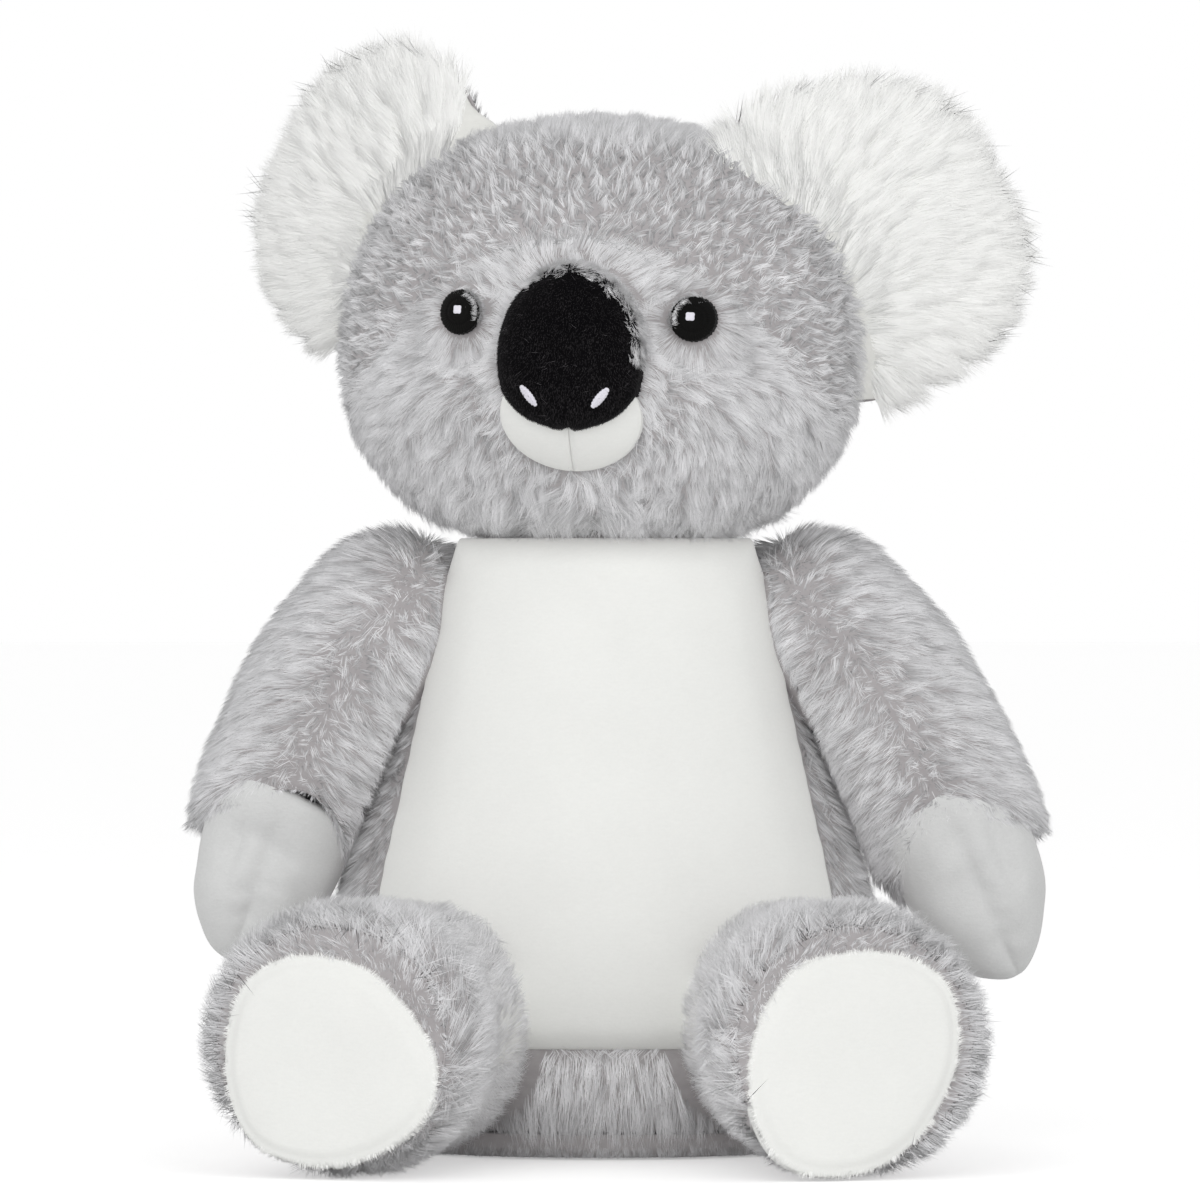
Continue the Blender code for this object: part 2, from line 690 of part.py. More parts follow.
def build_face(head, head_seat):
    nose_place = facing((0, face_front(0, NOSE_UP), NOSE_UP))
    combine(add("nose", nose_mesh(0.0), head, "black_velour", nose_place), [head_seat])
    nose_seat = add("nose_seat", nose_mesh(SEAT_GAP), head, place=nose_place)
    stitched = add("nostril_height", nose_mesh(SEAT_GAP + NOSTRIL_RISE), head, place=nose_place)
    eye_height = add("eye_height", skin(head_rings(SEAT_GAP + EYE_RISE), BODY_SEGMENTS), head)
    glint_seat = add("glint_seat", skin(head_rings(2 * SEAT_GAP + EYE_RISE), BODY_SEGMENTS), head)
    glint_height = add("glint_height", skin(head_rings(2 * SEAT_GAP + EYE_RISE + GLINT_RISE), BODY_SEGMENTS), head)
    for side, sign in SIDES.items():
        level = NOSE_UP - NOSTRIL_DROP
        place = facing((sign * NOSTRIL_APART / 2, face_front(0, level) - NOSE_RISE, level), 0, sign * NOSTRIL_SLANT)
        stitches = pad(NOSTRIL_WIDTH / 2, NOSTRIL_LENGTH / 2, PATCH_REACH, PAD_SEGMENTS // 2 + 2, tuck=PATCH_REACH)
        nostril = add(f"nostril_{side}", stitches, head, "white_thread", place)
        combine(nostril, [stitched], "INTERSECT")
        combine(nostril, [nose_seat])

        out = sign * EYES_APART / 2
        place = facing((out, face_front(out, EYE_UP), EYE_UP), sign * EYE_TURN)
        for name, diameter, top, seat, finish in (
                (f"eye_{side}", EYE_DIAMETER, eye_height, head_seat, "black_thread"),
                (f"eye_glint_{side}", GLINT_DIAMETER, glint_height, glint_seat, "white_thread")):
            disc = pad(diameter / 2, diameter / 2, PATCH_REACH, PAD_SEGMENTS, tuck=PATCH_REACH)
            patch = add(name, disc, head, finish, place)
            combine(patch, [top], "INTERSECT")
            combine(patch, [seat])

        chin = pad(CHIN_WIDTH / 2, CHIN_HEIGHT / 2, CHIN_RISE, PAD_SEGMENTS + 4, tuck=CHIN_TUCK)
        place = facing((0, face_front(0, CHIN_UP), CHIN_UP))
        half = add(f"chin_{side}", halved(chin, sign, SEAT_GAP), head, "white_velour", place)
        combine(half, [head_seat, nose_seat])


def build_arm(side, body):
    """The arm is flattened where it lies against the body, but not inside the ball that it turns in."""
    shoulder = shoulder_place(side)
    swing = SIDES[side] * (math.pi - ARM_SPREAD[side])
    arm = hinge(f"shoulder_{side}", shoulder, (0, swing, 0))
    relief = add(f"arm_relief_{side}", skin(grown(body_rings(), SEAT_GAP), BODY_SEGMENTS), body)
    room = balls([(shoulder, ARM_RADIUS + SEAT_GAP / 2)], SWING_SEGMENTS)
    combine(relief, [add(f"arm_room_{side}", room, body)])

    outer = sleeve_rings(side)
    inner = grown(outer, -PLUSH)
    inner = trimmed(trimmed(inner, height, most=SLEEVE_LENGTH), width, least=ARM_BORE)
    cover = add(f"arm_{side}_cover", skin(outer + inner[::-1], LIMB_SEGMENTS, looped=True), arm, "grey_plush")
    combine(cover, [relief])

    paw = paw_rings(side)
    lining = trimmed(grown(paw, -VELOUR), height, least=paw[0].height)
    add(f"paw_{side}", skin(lining[::-1] + paw, LIMB_SEGMENTS), arm, "grey_velour")

    root = paw[0].height - SEAT_GAP
    upper = grown(outer, -PLUSH - SEAT_GAP)
    upper = trimmed(trimmed(upper, height, most=root), width, least=ARM_BORE)
    lower = grown(paw, -VELOUR - SEAT_GAP)
    fill = plug(ARM_RADIUS, ARM_BORE, PLUSH) + upper[1:] + [lower[0]._replace(height=root)] + lower[1:]
    combine(add(f"arm_{side}_fill", skin(fill, LIMB_SEGMENTS), arm, "stuffing"), [relief])


def build_leg(side):
    leg = hinge(f"hip_{side}", hip_place(side), (math.pi / 2, 0, SIDES[side] * LEG_SPREAD[side]))
    outer = leg_rings()
    inner = trimmed(trimmed(grown(outer, -PLUSH), height, most=LEG_LENGTH), width, least=HIP_BORE)
    mouth = Ring(LEG_LENGTH, outer[-1].half_width - PLUSH, outer[-1].half_depth - PLUSH)
    ledge = mouth._replace(height=LEG_LENGTH - SOLE_DEPTH)
    inner = trimmed(inner, height, most=ledge.height) + [ledge, mouth]
    cover = skin(outer + inner[::-1], LIMB_SEGMENTS + 2, looped=True)
    add(f"leg_{side}_cover", cover, leg, "grey_plush")

    floor = LEG_LENGTH - SOLE_DEPTH - SEAT_GAP
    fill = trimmed(grown(outer, -PLUSH - SEAT_GAP), height, most=floor)
    fill = trimmed(fill, width, least=HIP_BORE)
    fill = plug(HIP_RADIUS, HIP_BORE, PLUSH) + fill[1:]
    add(f"leg_{side}_fill", skin(fill, LIMB_SEGMENTS + 2), leg, "stuffing")

    sole = pad(mouth.half_width - SEAT_GAP, mouth.half_depth - SEAT_GAP, SOLE_RISE, LIMB_SEGMENTS + 2,
               tuck=SOLE_DEPTH)
    add(f"sole_{side}", sole, leg, "white_velour", Matrix.Translation((0, 0, LEG_LENGTH)))


def main():
    for leftover in list(bpy.data.objects):
        bpy.data.objects.remove(leftover)
    body = hinge("body", (0, 0, 0))
    head = hinge("neck", (0, 0, BODY_HEIGHT), (0, HEAD_LEAN, HEAD_TURN))
    sockets = add_sockets(body)
    build_body(body, sockets)
    build_base(body, sockets)
    build_zip(body)
    build_slider(body)
    head_seat = build_head(head, body)
    build_ears(head, head_seat)
    build_face(head, head_seat)
    for side in SIDES:
        build_arm(side, body)
        build_leg(side)


main()
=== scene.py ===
"""The looks of a seated plush koala: skins, fur, velour, embroidery and the zip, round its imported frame.

Metres, +Z up, and the koala faces -Y. Left is -X, as in the names of the frame's nodes. Each stuffed form
is a stack of rings with the outline that its pile reaches. The skin lies under it by the depth of the
pile, and the fur fills what is between. Run it as a script in Blender 4.5.
"""
import json
import math

import bpy
import numpy as np
from bpy.props import FloatProperty, FloatVectorProperty, PointerProperty
from mathutils import Euler, Matrix


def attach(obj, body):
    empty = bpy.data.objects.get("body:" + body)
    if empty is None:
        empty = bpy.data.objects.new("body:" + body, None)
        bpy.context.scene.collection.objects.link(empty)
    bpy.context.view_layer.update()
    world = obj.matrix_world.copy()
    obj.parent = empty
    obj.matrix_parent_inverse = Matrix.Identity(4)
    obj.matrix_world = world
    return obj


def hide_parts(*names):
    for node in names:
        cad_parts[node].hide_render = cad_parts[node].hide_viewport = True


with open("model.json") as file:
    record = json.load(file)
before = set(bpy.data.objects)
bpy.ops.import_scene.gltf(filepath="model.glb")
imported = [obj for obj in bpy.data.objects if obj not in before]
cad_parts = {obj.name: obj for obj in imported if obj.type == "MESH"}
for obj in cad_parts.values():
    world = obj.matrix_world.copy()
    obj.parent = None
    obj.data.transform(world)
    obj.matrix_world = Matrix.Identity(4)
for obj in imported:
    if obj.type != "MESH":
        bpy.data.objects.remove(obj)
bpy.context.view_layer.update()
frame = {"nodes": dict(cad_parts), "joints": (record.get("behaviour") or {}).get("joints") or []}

bl_info = {
    "name": "Plush koala",
    "version": (1, 0, 0),
    "blender": (4, 5, 0),
    "location": "3D View > Sidebar > Koala",
    "description": "Skins, fur, velour, embroidery and zip of a seated plush koala",
    "category": "Object",
}

MM = 0.001
SIDES = {"left": -1, "right": 1}
PLACES = {joint["child"]: np.array(joint["pos_m"], float) for joint in frame["joints"] if "pos_m" in joint}

# The pile of the fabrics: how deep a skin lies under its form's outline
PILE_DEPTH = 4.2 * MM
LINER_DEPTH = 9.0 * MM
FLOOR_GAP = 0.4 * MM

# Body, as (height, half width, half depth) shares of its waist height, half width and half depth
BODY_HEIGHT, BODY_WIDTH, BODY_DEPTH = 202 * MM, 170 * MM, 134 * MM
DOME_RADIUS, DOME_RISE = 70 * MM, 20 * MM
BODY_SHARES = (
    (0.000, 0.000, 0.000), (0.000, 0.450, 0.430), (0.001, 0.700, 0.670), (0.019, 0.830, 0.812),
    (0.052, 0.905, 0.890), (0.115, 0.968, 0.951), (0.230, 1.000, 0.996), (0.412, 0.988, 0.996),
    (0.577, 0.900, 0.948), (0.725, 0.788, 0.873), (0.868, 0.730, 0.800), (0.956, 0.680, 0.745),
)
BASE_THICKNESS, BASE_SHARE, ZIP_AT, ZIP_SLOT = 8 * MM, 0.83, 14 * MM, 10 * MM
# Belly panel, as (height share of the body, half width share)
PANEL_SHARES = (
    (0.168, 0.500), (0.195, 0.680), (0.255, 0.800), (0.376, 0.850), (0.535, 0.776),
    (0.688, 0.700), (0.782, 0.650), (0.866, 0.615), (0.936, 0.560),
)
PANEL_SHOULDER = 56 * MM

# Head, as (height, half width, half depth) shares, with its muzzle
HEAD_HEIGHT, HEAD_WIDTH, HEAD_DEPTH = 133 * MM, 166 * MM, 124 * MM
HEAD_SETTLE, HEAD_FORWARD, HEAD_ASIDE = 14 * MM, 5 * MM, 2.2 * MM
MUZZLE_REACH, MUZZLE_UP_SHARE, MUZZLE_SPREAD_SHARE, MUZZLE_POWER = 9 * MM, 0.40, 0.24, 3
HEAD_TURN, HEAD_LEAN = math.radians(-9.3), math.radians(2.0)
HEAD_SHARES = (
    (0.000, 0.000, 0.000), (0.022, 0.400, 0.410), (0.075, 0.680, 0.680), (0.145, 0.825, 0.825),
    (0.240, 0.945, 0.945), (0.370, 1.000, 1.000), (0.500, 1.000, 1.000), (0.620, 0.968, 0.975),
    (0.725, 0.895, 0.905), (0.810, 0.790, 0.810), (0.885, 0.650, 0.675), (0.950, 0.445, 0.465),
    (1.000, 0.000, 0.000),
)

# Ears
EAR_LENGTH, EAR_WIDTH, EAR_FRONT, EAR_BACK = 102 * MM, 98 * MM, 13 * MM, 11 * MM
EAR_OUT, EAR_BEHIND, EAR_REACH = 58.5 * MM, 4 * MM, 27 * MM
EAR_UP = {"left": 74 * MM, "right": 70 * MM}
EAR_TILT = math.radians(29)
# The angle of each ear's fullest corner, in degrees from its outer end, and how far into the face its white
# pile reaches, as (height, distance from the middle) in millimetres
EAR_CORNER = {"left": 95, "right": 112}
EAR_LIMITS = {
    "left": ((225, 92), (239, 87.6), (262, 81), (282, 75.3), (288, 73.5), (296, 64.3), (307, 51),
             (318, 44.6), (339, 43.7)),
    "right": ((225, 90), (230, 85.8), (238, 79), (253, 79), (268, 77.2), (281, 69.8), (288, 58.7),
              (299, 43.7), (305, 36.3), (318, 34.4), (335, 34)),
}
EAR_TURN = {"left": math.radians(34.0), "right": math.radians(27.5)}

# Face
NOSE_WIDTH, NOSE_HEIGHT, NOSE_RISE, NOSE_TUCK, NOSE_UP = 43.5 * MM, 50 * MM, 9 * MM, 10 * MM, 44 * MM
NOSE_SHARES = ((-90, 0.992), (-70, 1.000), (-49, 1.054), (-32, 1.080), (-15, 1.032), (0, 0.996),
               (25, 0.976), (45, 0.964), (70, 0.976), (90, 1.000))
NOSTRIL_APART, NOSTRIL_LENGTH, NOSTRIL_WIDTH, NOSTRIL_DROP = 22 * MM, 8 * MM, 2.6 * MM, 15 * MM
NOSTRIL_SLANT = math.radians(40)
CHIN_WIDTH, CHIN_HEIGHT, CHIN_RISE, CHIN_UP = 43 * MM, 33 * MM, 3.5 * MM, 23.5 * MM
EYE_DIAMETER, EYES_APART, EYE_UP = 13 * MM, 71 * MM, 54 * MM
GLINT_DIAMETER = 2.8 * MM

# Arms and legs
ARM_LENGTH, ARM_RADIUS, ARM_FLATNESS_SHARE, SLEEVE_LENGTH = 124 * MM, 31 * MM, 0.92, 70 * MM
ARM_BOW, ARM_BOW_POWER, PAW_TUCK, SLEEVE_WALL = 6 * MM, 0.6, 10 * MM, 6.3 * MM
ARM_SPREAD = {"left": math.radians(25.5), "right": math.radians(29.5)}
SLEEVE_SHARES = ((0.30, 0.995), (0.58, 1.0), (0.82, 0.975), (1.0, 0.90))
PAW_SHARES = ((0.0, 1.0), (0.30, 0.98), (0.55, 0.93), (0.75, 0.79), (0.90, 0.53), (0.97, 0.30), (1.0, 0.0))
LEG_LENGTH, LEG_WIDTH, LEG_HEIGHT, HIP_RADIUS = 86 * MM, 90 * MM, 82 * MM, 37 * MM
LEG_SLIM, SOLE_DROP = 10 * MM, 6.6 * MM
# Each sole's outline, as (angle from the viewer's right, reach in millimetres)
SOLE_OUTLINES = {
    "left": ((0, 33), (22, 30), (43, 28.5), (68, 29.5), (90, 30.5), (115, 33), (137, 35), (162, 33.5),
             (192, 33.5), (223, 34.5), (254, 31.2), (284, 30.2), (311, 31.5), (338, 34)),
    "right": ((0, 31), (18, 33.5), (36, 36), (52, 35.5), (69, 34), (96, 32), (126, 32.5), (155, 31),
              (188, 32.5), (212, 35), (235, 36.5), (268, 32.8), (295, 30.8), (330, 29)),
}
LEG_SPREAD = {"left": math.radians(20.0), "right": math.radians(14.5)}
LEG_SHARES = ((0.28, 0.87, 0.93), (0.56, 0.965, 0.985), (0.78, 1.0, 1.0), (0.92, 0.95, 0.955),
              (1.0, 0.86, 0.87))
SOLE_RISE, SOLE_TUCK, SOLE_SINK = 2.2 * MM, 4 * MM, 2.5 * MM
BALL_STEPS = 4
# How far along the arm each sleeve ends in front, on the outer side, on the inner side and behind
CUFF = {"left": (60 * MM, 82 * MM, 77 * MM, 78 * MM), "right": (72 * MM, 90 * MM, 88 * MM, 88 * MM)}
# Where each paw starts to bend to the front, how sharply, and the share of its length that it keeps past
# there
PAW_BEND = {"left": (72 * MM, 13.0, 0.86), "right": (80 * MM, 3.0, 1.0)}

# Strands on each square millimetre of skin.
FUR_DENSITY = {
    "head": 3.6, "ear_front": 3.2, "ear_back": 1.5, "body": 1.6, "arm": 2.35, "leg": 1.7, "base": 2.4,
    "sole": 3.0, "nose": 4.0, "nose_rim": 7.0, "eye_rim": 22.0,
}
# The cloth simulation that fills the skins
CLOTH_SCALE, CLOTH_PRESSURE, CLOTH_STIFFNESS, CLOTH_FRAMES = 10.0, 40.0, 8.0, 20
SEED = 11


# Small numpy helpers


def unit(vectors):
    return vectors / np.maximum(np.linalg.norm(vectors, axis=-1, keepdims=True), 1e-12)


def ramp(values, low, high):
    """A smooth step: 0 below low, 1 above high, and 3t^2 - 2t^3 between."""
    t = np.clip((values - low) / (high - low), 0, 1)
    return t * t * (3 - 2 * t)


def hump(values, middle, reach):
    """A bell: e to the power of minus the squared distance from the middle, over the reach."""
    return np.exp(-((values - middle) / reach) ** 2)


def moved(points, matrix):
    """Points taken through a 4 by 4 matrix."""
    matrix = np.array(matrix)
    return points @ matrix[:3, :3].T + matrix[:3, 3]


def turned(vectors, matrix):
    return vectors @ np.array(matrix)[:3, :3].T


def scrambled(cells, seed):
    """Three random numbers from 0 to 1 for each whole-numbered cell: the fraction of a large multiple of a
    sine."""
    mix = np.array([[12.9898, 39.3467, 73.1561], [78.2330, 11.1351, 52.2351], [37.7190, 83.1553, 9.1514]])
    return np.abs(np.modf(np.sin(cells @ mix + seed * 1.7) * 43758.5453)[0])


def wander(points, size, seed):
    """Smooth noise from -1 to 1: random numbers on a grid of cells of a size, blended between its
    corners."""
    place = points / size
    cell = np.floor(place)
    part = place - cell
    part = part * part * (3 - 2 * part)
    total = np.zeros((len(points), 3))
    for corner in np.ndindex(2, 2, 2):
        weight = np.prod(np.where(corner, part, 1 - part), axis=1, keepdims=True)
        total += weight * scrambled(cell + corner, seed)
    return 2 * total - 1


def tufts(points, size, seed):
    """The tuft that each place belongs to: the nearest of many random spots, one to each cell of a size,
    with three random numbers from -1 to 1 of its own."""
    cell = np.floor(points / size)
    best = np.full(len(points), np.inf)
    middles = np.zeros_like(points)
    own = np.zeros_like(points)
    for offset in np.ndindex(3, 3, 3):
        here = cell + offset - 1
        spot = (here + scrambled(here, seed)) * size
        far = ((spot - points) ** 2).sum(axis=1)
        closer = far < best
        best = np.where(closer, far, best)
        middles[closer] = spot[closer]
        own[closer] = here[closer]
    return middles, 2 * scrambled(own, seed + 3) - 1


# Forms: stacks of rings


def spline(table, steps):
    """A Catmull-Rom curve through a table's rows. At a pole the curve goes on mirrored, so that it is round
    there."""
    table = np.asarray(table, float)

    def beyond(end, inner):
        ghost = inner.copy()
        if end[1] == 0:
            ghost[1:3] = -inner[1:3]
            return ghost
        return 2 * end - inner

    rows = np.vstack([beyond(table[0], table[1]), table, beyond(table[-1], table[-2])])
    t = np.linspace(0, 1, steps, endpoint=False)[:, None]
    pieces = []
    for a, b, c, d in zip(rows, rows[1:], rows[2:], rows[3:]):
        pieces.append(0.5 * (2 * b + (c - a) * t + (2 * a - 5 * b + 4 * c - d) * t ** 2
                             + (3 * b - a - 3 * c + d) * t ** 3))
    return np.vstack(pieces + [table[-1]])


def rings(rows, around, power=1.0):
    """Points of a stack of ellipses, (height, half width, half depth, aside, behind, bulge) each: the
    ring's x is aside plus half width times cosine, its y behind plus half depth times sine, less the bulge
    times the front part of the sine to a power."""
    rows = np.hstack([rows, np.zeros((len(rows), 6 - rows.shape[1]))])
    angle = np.linspace(0, math.tau, around, endpoint=False)
    height, wide, deep, aside, behind, bulge = (rows[:, [i]] for i in range(6))
    x = aside + wide * np.cos(angle)
    y = behind + deep * np.sin(angle) - bulge * np.maximum(0, -np.sin(angle)) ** power
    return np.stack([x, y, height + 0 * angle], axis=-1)


def grid_quads(rows, columns, wrap):
    """Quads of a grid whose points run along its rows, each closed round on itself where it wraps."""
    row = np.arange(rows - 1)[:, None] * columns
    column = np.arange(columns if wrap else columns - 1)[None]
    after = (column + 1) % columns
    corners = [row + column, row + after, row + columns + after, row + columns + column]
    return np.stack(corners, -1).reshape(-1, 4)


def stack(points):
    """Vertices and faces of a closed stack of rings whose first and last ring are poles."""
    count, around = points.shape[:2]
    vertices = np.vstack([points[0, :1], points[1:-1].reshape(-1, 3), points[-1, :1]])
    here = np.arange(around)
    after = (here + 1) % around
    last = len(vertices) - 1
    top = 1 + (count - 3) * around
    low = np.stack([np.zeros(around, int), after + 1, here + 1], -1)
    high = np.stack([np.full(around, last), top + here, top + after], -1)
    quads = grid_quads(count - 2, around, True) + 1
    return vertices, quads.tolist() + low.tolist() + high.tolist()


def triangles_of(faces):
    """Triangles that fan out from each face's first corner."""
    fans = [(face[0], face[i], face[i + 1]) for face in faces for i in range(1, len(face) - 1)]
    return np.array(fans)


def normals_of(vertices, triangles):
    """Each vertex's normal: the sum of its triangles' normals, weighted by their area."""
    a, b, c = (vertices[triangles[:, i]] for i in range(3))
    cross = np.cross(b - a, c - a)
    total = np.zeros_like(vertices)
    for corner in range(3):
        np.add.at(total, triangles[:, corner], cross)
    return unit(total)


def sunk(vertices, faces, depth):
    """The vertices moved inwards along their normals."""
    return vertices - normals_of(vertices, triangles_of(faces)) * depth


def body_rows():
    """The body's rings: the shares' swelling bag, then the arc of the neck dome."""
    waist = BODY_HEIGHT - DOME_RISE
    rows = [(waist * up, BODY_WIDTH / 2 * wide, BODY_DEPTH / 2 * deep) for up, wide, deep in BODY_SHARES]
    start = math.acos(1 - DOME_RISE / DOME_RADIUS)
    for angle in np.linspace(start, 0, 5):
        reach = DOME_RADIUS * math.sin(angle)
        rows.append((BODY_HEIGHT - DOME_RADIUS + DOME_RADIUS * math.cos(angle), reach, reach))
    return np.array(rows)


def head_rows():
    rows = []
    for up, wide, deep in HEAD_SHARES:
        spread = (up - MUZZLE_UP_SHARE) / MUZZLE_SPREAD_SHARE
        rows.append((HEAD_HEIGHT * up - HEAD_SETTLE, HEAD_WIDTH / 2 * wide, HEAD_DEPTH / 2 * deep,
                     -HEAD_ASIDE, -HEAD_FORWARD, MUZZLE_REACH * math.exp(-spread * spread)))
    return np.array(rows)


BODY_CURVE = spline(body_rows(), 6)
HEAD_CURVE = spline(head_rows(), 6)


def curve_at(curve, height, column):
    """A column of a form's rings at given heights, read from its smooth curve."""
    order = np.argsort(curve[:, 0], kind="stable")
    return np.interp(height, curve[order, 0], curve[order, column])


def face_front(x, z):
    """The y of the head's outline at a place on the face, in the head's own frame."""
    wide, deep, bulge = (curve_at(HEAD_CURVE, z, column) for column in (1, 2, 5))
    along = np.sqrt(np.clip(1 - ((x + HEAD_ASIDE) / wide) ** 2, 0, 1))
    return -HEAD_FORWARD - deep * along - bulge * along ** MUZZLE_POWER


def body_front(x, z):
    wide, deep = (curve_at(BODY_CURVE, z, column) for column in (1, 2))
    wide = np.maximum(wide, PANEL_SHOULDER)
    return -deep * np.sqrt(np.clip(1 - (x / wide) ** 2, 0, 1))


def clear_of_body(points, gap):
    """Points inside the body's outline, moved sideways to a gap outside it."""
    wide = curve_at(BODY_CURVE, points[:, 2], 1) + gap
    deep = curve_at(BODY_CURVE, points[:, 2], 2) + gap
    inside = np.sqrt((points[:, 0] / wide) ** 2 + (points[:, 1] / deep) ** 2)
    low, high = BODY_CURVE[0, 0], BODY_HEIGHT - DOME_RISE
    reached = (inside < 1) & (points[:, 2] > low) & (points[:, 2] < high)
    push = np.where(reached, 1 / np.maximum(inside, 0.3), 1.0)
    result = points.copy()
    result[:, :2] *= push[:, None]
    return result


def clear_of_ball(points, middle, radius):
    """Points inside a ball, moved out to its surface."""
    away = points - middle
    far = np.linalg.norm(away, axis=1, keepdims=True)
    return np.where(far < radius, middle + away / np.maximum(far, 1e-9) * radius, points)


def above_floor(points):
    result = points.copy()
    result[:, 2] = np.maximum(result[:, 2], FLOOR_GAP)
    return result


def facing(place, turn=0.0, tilt=0.0):
    """A frame whose own Z points to the koala's front, tilted about that and then turned about the
    upright."""
    return Matrix.Translation(place) @ Euler((math.pi / 2, tilt, turn)).to_matrix().to_4x4()


NECK = PLACES["head"]
HEAD = Matrix.Translation(NECK) @ Euler((0, HEAD_LEAN, HEAD_TURN)).to_matrix().to_4x4()
HEAD_BACK = HEAD.inverted()
DOME_MIDDLE = np.array((0, 0, BODY_HEIGHT - DOME_RADIUS))
NOSE_PLACE = (0, float(face_front(np.array([0.0]), np.array([NOSE_UP]))[0]), NOSE_UP)


def arm_frame(side):
    swing = SIDES[side] * (math.pi - ARM_SPREAD[side])
    return Matrix.Translation(PLACES[f"arm_{side}"]) @ Euler((0, swing, 0)).to_matrix().to_4x4()


def leg_frame(side):
    turn = Euler((math.pi / 2, 0, SIDES[side] * LEG_SPREAD[side]))
    return Matrix.Translation(PLACES[f"leg_{side}"]) @ turn.to_matrix().to_4x4()


def ear_frame(side):
    sign = SIDES[side]
    root = facing((sign * EAR_OUT, EAR_BEHIND, EAR_UP[side]), sign * EAR_TURN[side], -sign * EAR_TILT)
    return HEAD @ root @ Matrix.Translation((sign * EAR_REACH, 0, 0))


def ball_rows(radius):
    """A limb's round end: a quarter circle from its pole to the limb's widest ring."""
    angle = np.linspace(0, math.pi / 2, BALL_STEPS + 1)
    return [(-radius * math.cos(a), radius * math.sin(a), radius * math.sin(a)) for a in angle]


def arm_bow(side, level):
    return -SIDES[side] * ARM_BOW * math.sin(math.pi * max(0.0, level / ARM_LENGTH) ** ARM_BOW_POWER)


def arm_bows(side, levels):
    return -SIDES[side] * ARM_BOW * np.sin(math.pi * np.clip(levels / ARM_LENGTH, 0, 1) ** ARM_BOW_POWER)


def sleeve_rows(side):
    """The sleeve from its shoulder ball to the cuff, which turns in round the paw."""
    flat = ARM_RADIUS * ARM_FLATNESS_SHARE
    rows = [(*row, 0.0) for row in ball_rows(ARM_RADIUS)]
    for along, size in SLEEVE_SHARES:
        level = SLEEVE_LENGTH * along
        rows.append((level, ARM_RADIUS * size, flat * size, arm_bow(side, level)))
    level, wide, deep, aside = rows[-1]
    rows.append((level + 1.5 * MM, wide * 0.86, deep * 0.86, aside))
    rows.append((level + 0.5 * MM, wide * 0.70, deep * 0.70, aside))
    rows.append((level, 0.0, 0.0, aside))
    return np.array(rows)


def paw_rows(side):
    size = SLEEVE_SHARES[-1][1]
    wide = ARM_RADIUS * size - SLEEVE_WALL
    deep = ARM_RADIUS * ARM_FLATNESS_SHARE * size - SLEEVE_WALL
    root = SLEEVE_LENGTH - PAW_TUCK
    rows = [(root, 0.0, 0.0, arm_bow(side, root))]
    for along, share in PAW_SHARES:
        level = root + (ARM_LENGTH - root) * along
        rows.append((level + (0 if along else 0.5 * MM), wide * share, deep * share, arm_bow(side, level)))
    return np.array(rows)


def leg_rows():
    """The leg from its hip ball to the rim round its sole, with the face that the sole lies on."""
    rows = ball_rows(HIP_RADIUS)
    for along, wide, high in LEG_SHARES:
        rows.append((LEG_LENGTH * along, LEG_WIDTH / 2 * wide, LEG_HEIGHT / 2 * high))
    level, wide, high = rows[-1]
    rows.append((level + 1.0 * MM, wide * 0.90, high * 0.90))
    rows.append((level - 0.5 * MM, wide * 0.55, high * 0.55))
    rows.append((level - 0.5 * MM, 0.0, 0.0))
    return np.array(rows)


# Pieces


def new_piece(name, vertices, faces, material, smooth=True):
    mesh = bpy.data.meshes.new(name)
    mesh.from_pydata(vertices.tolist(), [], faces)
    mesh.polygons.foreach_set("use_smooth", np.full(len(mesh.polygons), smooth))
    mesh.materials.append(material)
    mesh.update()
    piece = bpy.data.objects.new(name, mesh)
    bpy.context.scene.collection.objects.link(piece)
    return piece


def dress(piece, body, slot, *nodes):
    """Makes a piece ride on its body and hides the frame's nodes that it stands for. The finish that it is
    given is not used.
    """
    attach(piece, body)
    if nodes:
        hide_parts(*nodes)
    return piece


def rounded(piece, levels=1):
    modifier = piece.modifiers.new("rounded", "SUBSURF")
    modifier.levels = levels
    modifier.render_levels = levels
    return piece


def stuffed(vertices, faces, held, cap, spare=0.0):
    """A closed form's vertices after it is filled: Blender's Cloth with air pressure, run for 20 frames
    without gravity, held along its seams and cut a little larger than its form. It runs at ten times the
    size, where the solver's springs give, and no place moves further than the cap."""
    mesh = bpy.data.meshes.new("cloth")
    mesh.from_pydata((vertices * CLOTH_SCALE).tolist(), [], faces)
    piece = bpy.data.objects.new("cloth", mesh)
    scene = bpy.context.scene
    scene.collection.objects.link(piece)
    seams = piece.vertex_groups.new(name="held")
    for index, weight in enumerate(np.clip(held, 0, 1).tolist()):
        seams.add([index], weight, "REPLACE")
    cloth = piece.modifiers.new("cloth", "CLOTH")
    settings = cloth.settings
    settings.use_pressure = True
    settings.uniform_pressure_force = CLOTH_PRESSURE
    for spring in ("tension_stiffness", "compression_stiffness", "shear_stiffness"):
        setattr(settings, spring, CLOTH_STIFFNESS)
    settings.shrink_min = -spare
    settings.vertex_group_mass = seams.name
    settings.effector_weights.gravity = 0
    cloth.point_cache.frame_start, cloth.point_cache.frame_end = 1, CLOTH_FRAMES
    for step in range(1, CLOTH_FRAMES + 1):
        scene.frame_set(step)
    result = final_mesh(piece)[0] / CLOTH_SCALE
    bpy.data.objects.remove(piece)
    bpy.data.meshes.remove(mesh)
    scene.frame_set(1)
    move = result - vertices
    far = np.linalg.norm(move, axis=1, keepdims=True)
    return vertices + move * np.minimum(1, cap / np.maximum(far, 1e-9))


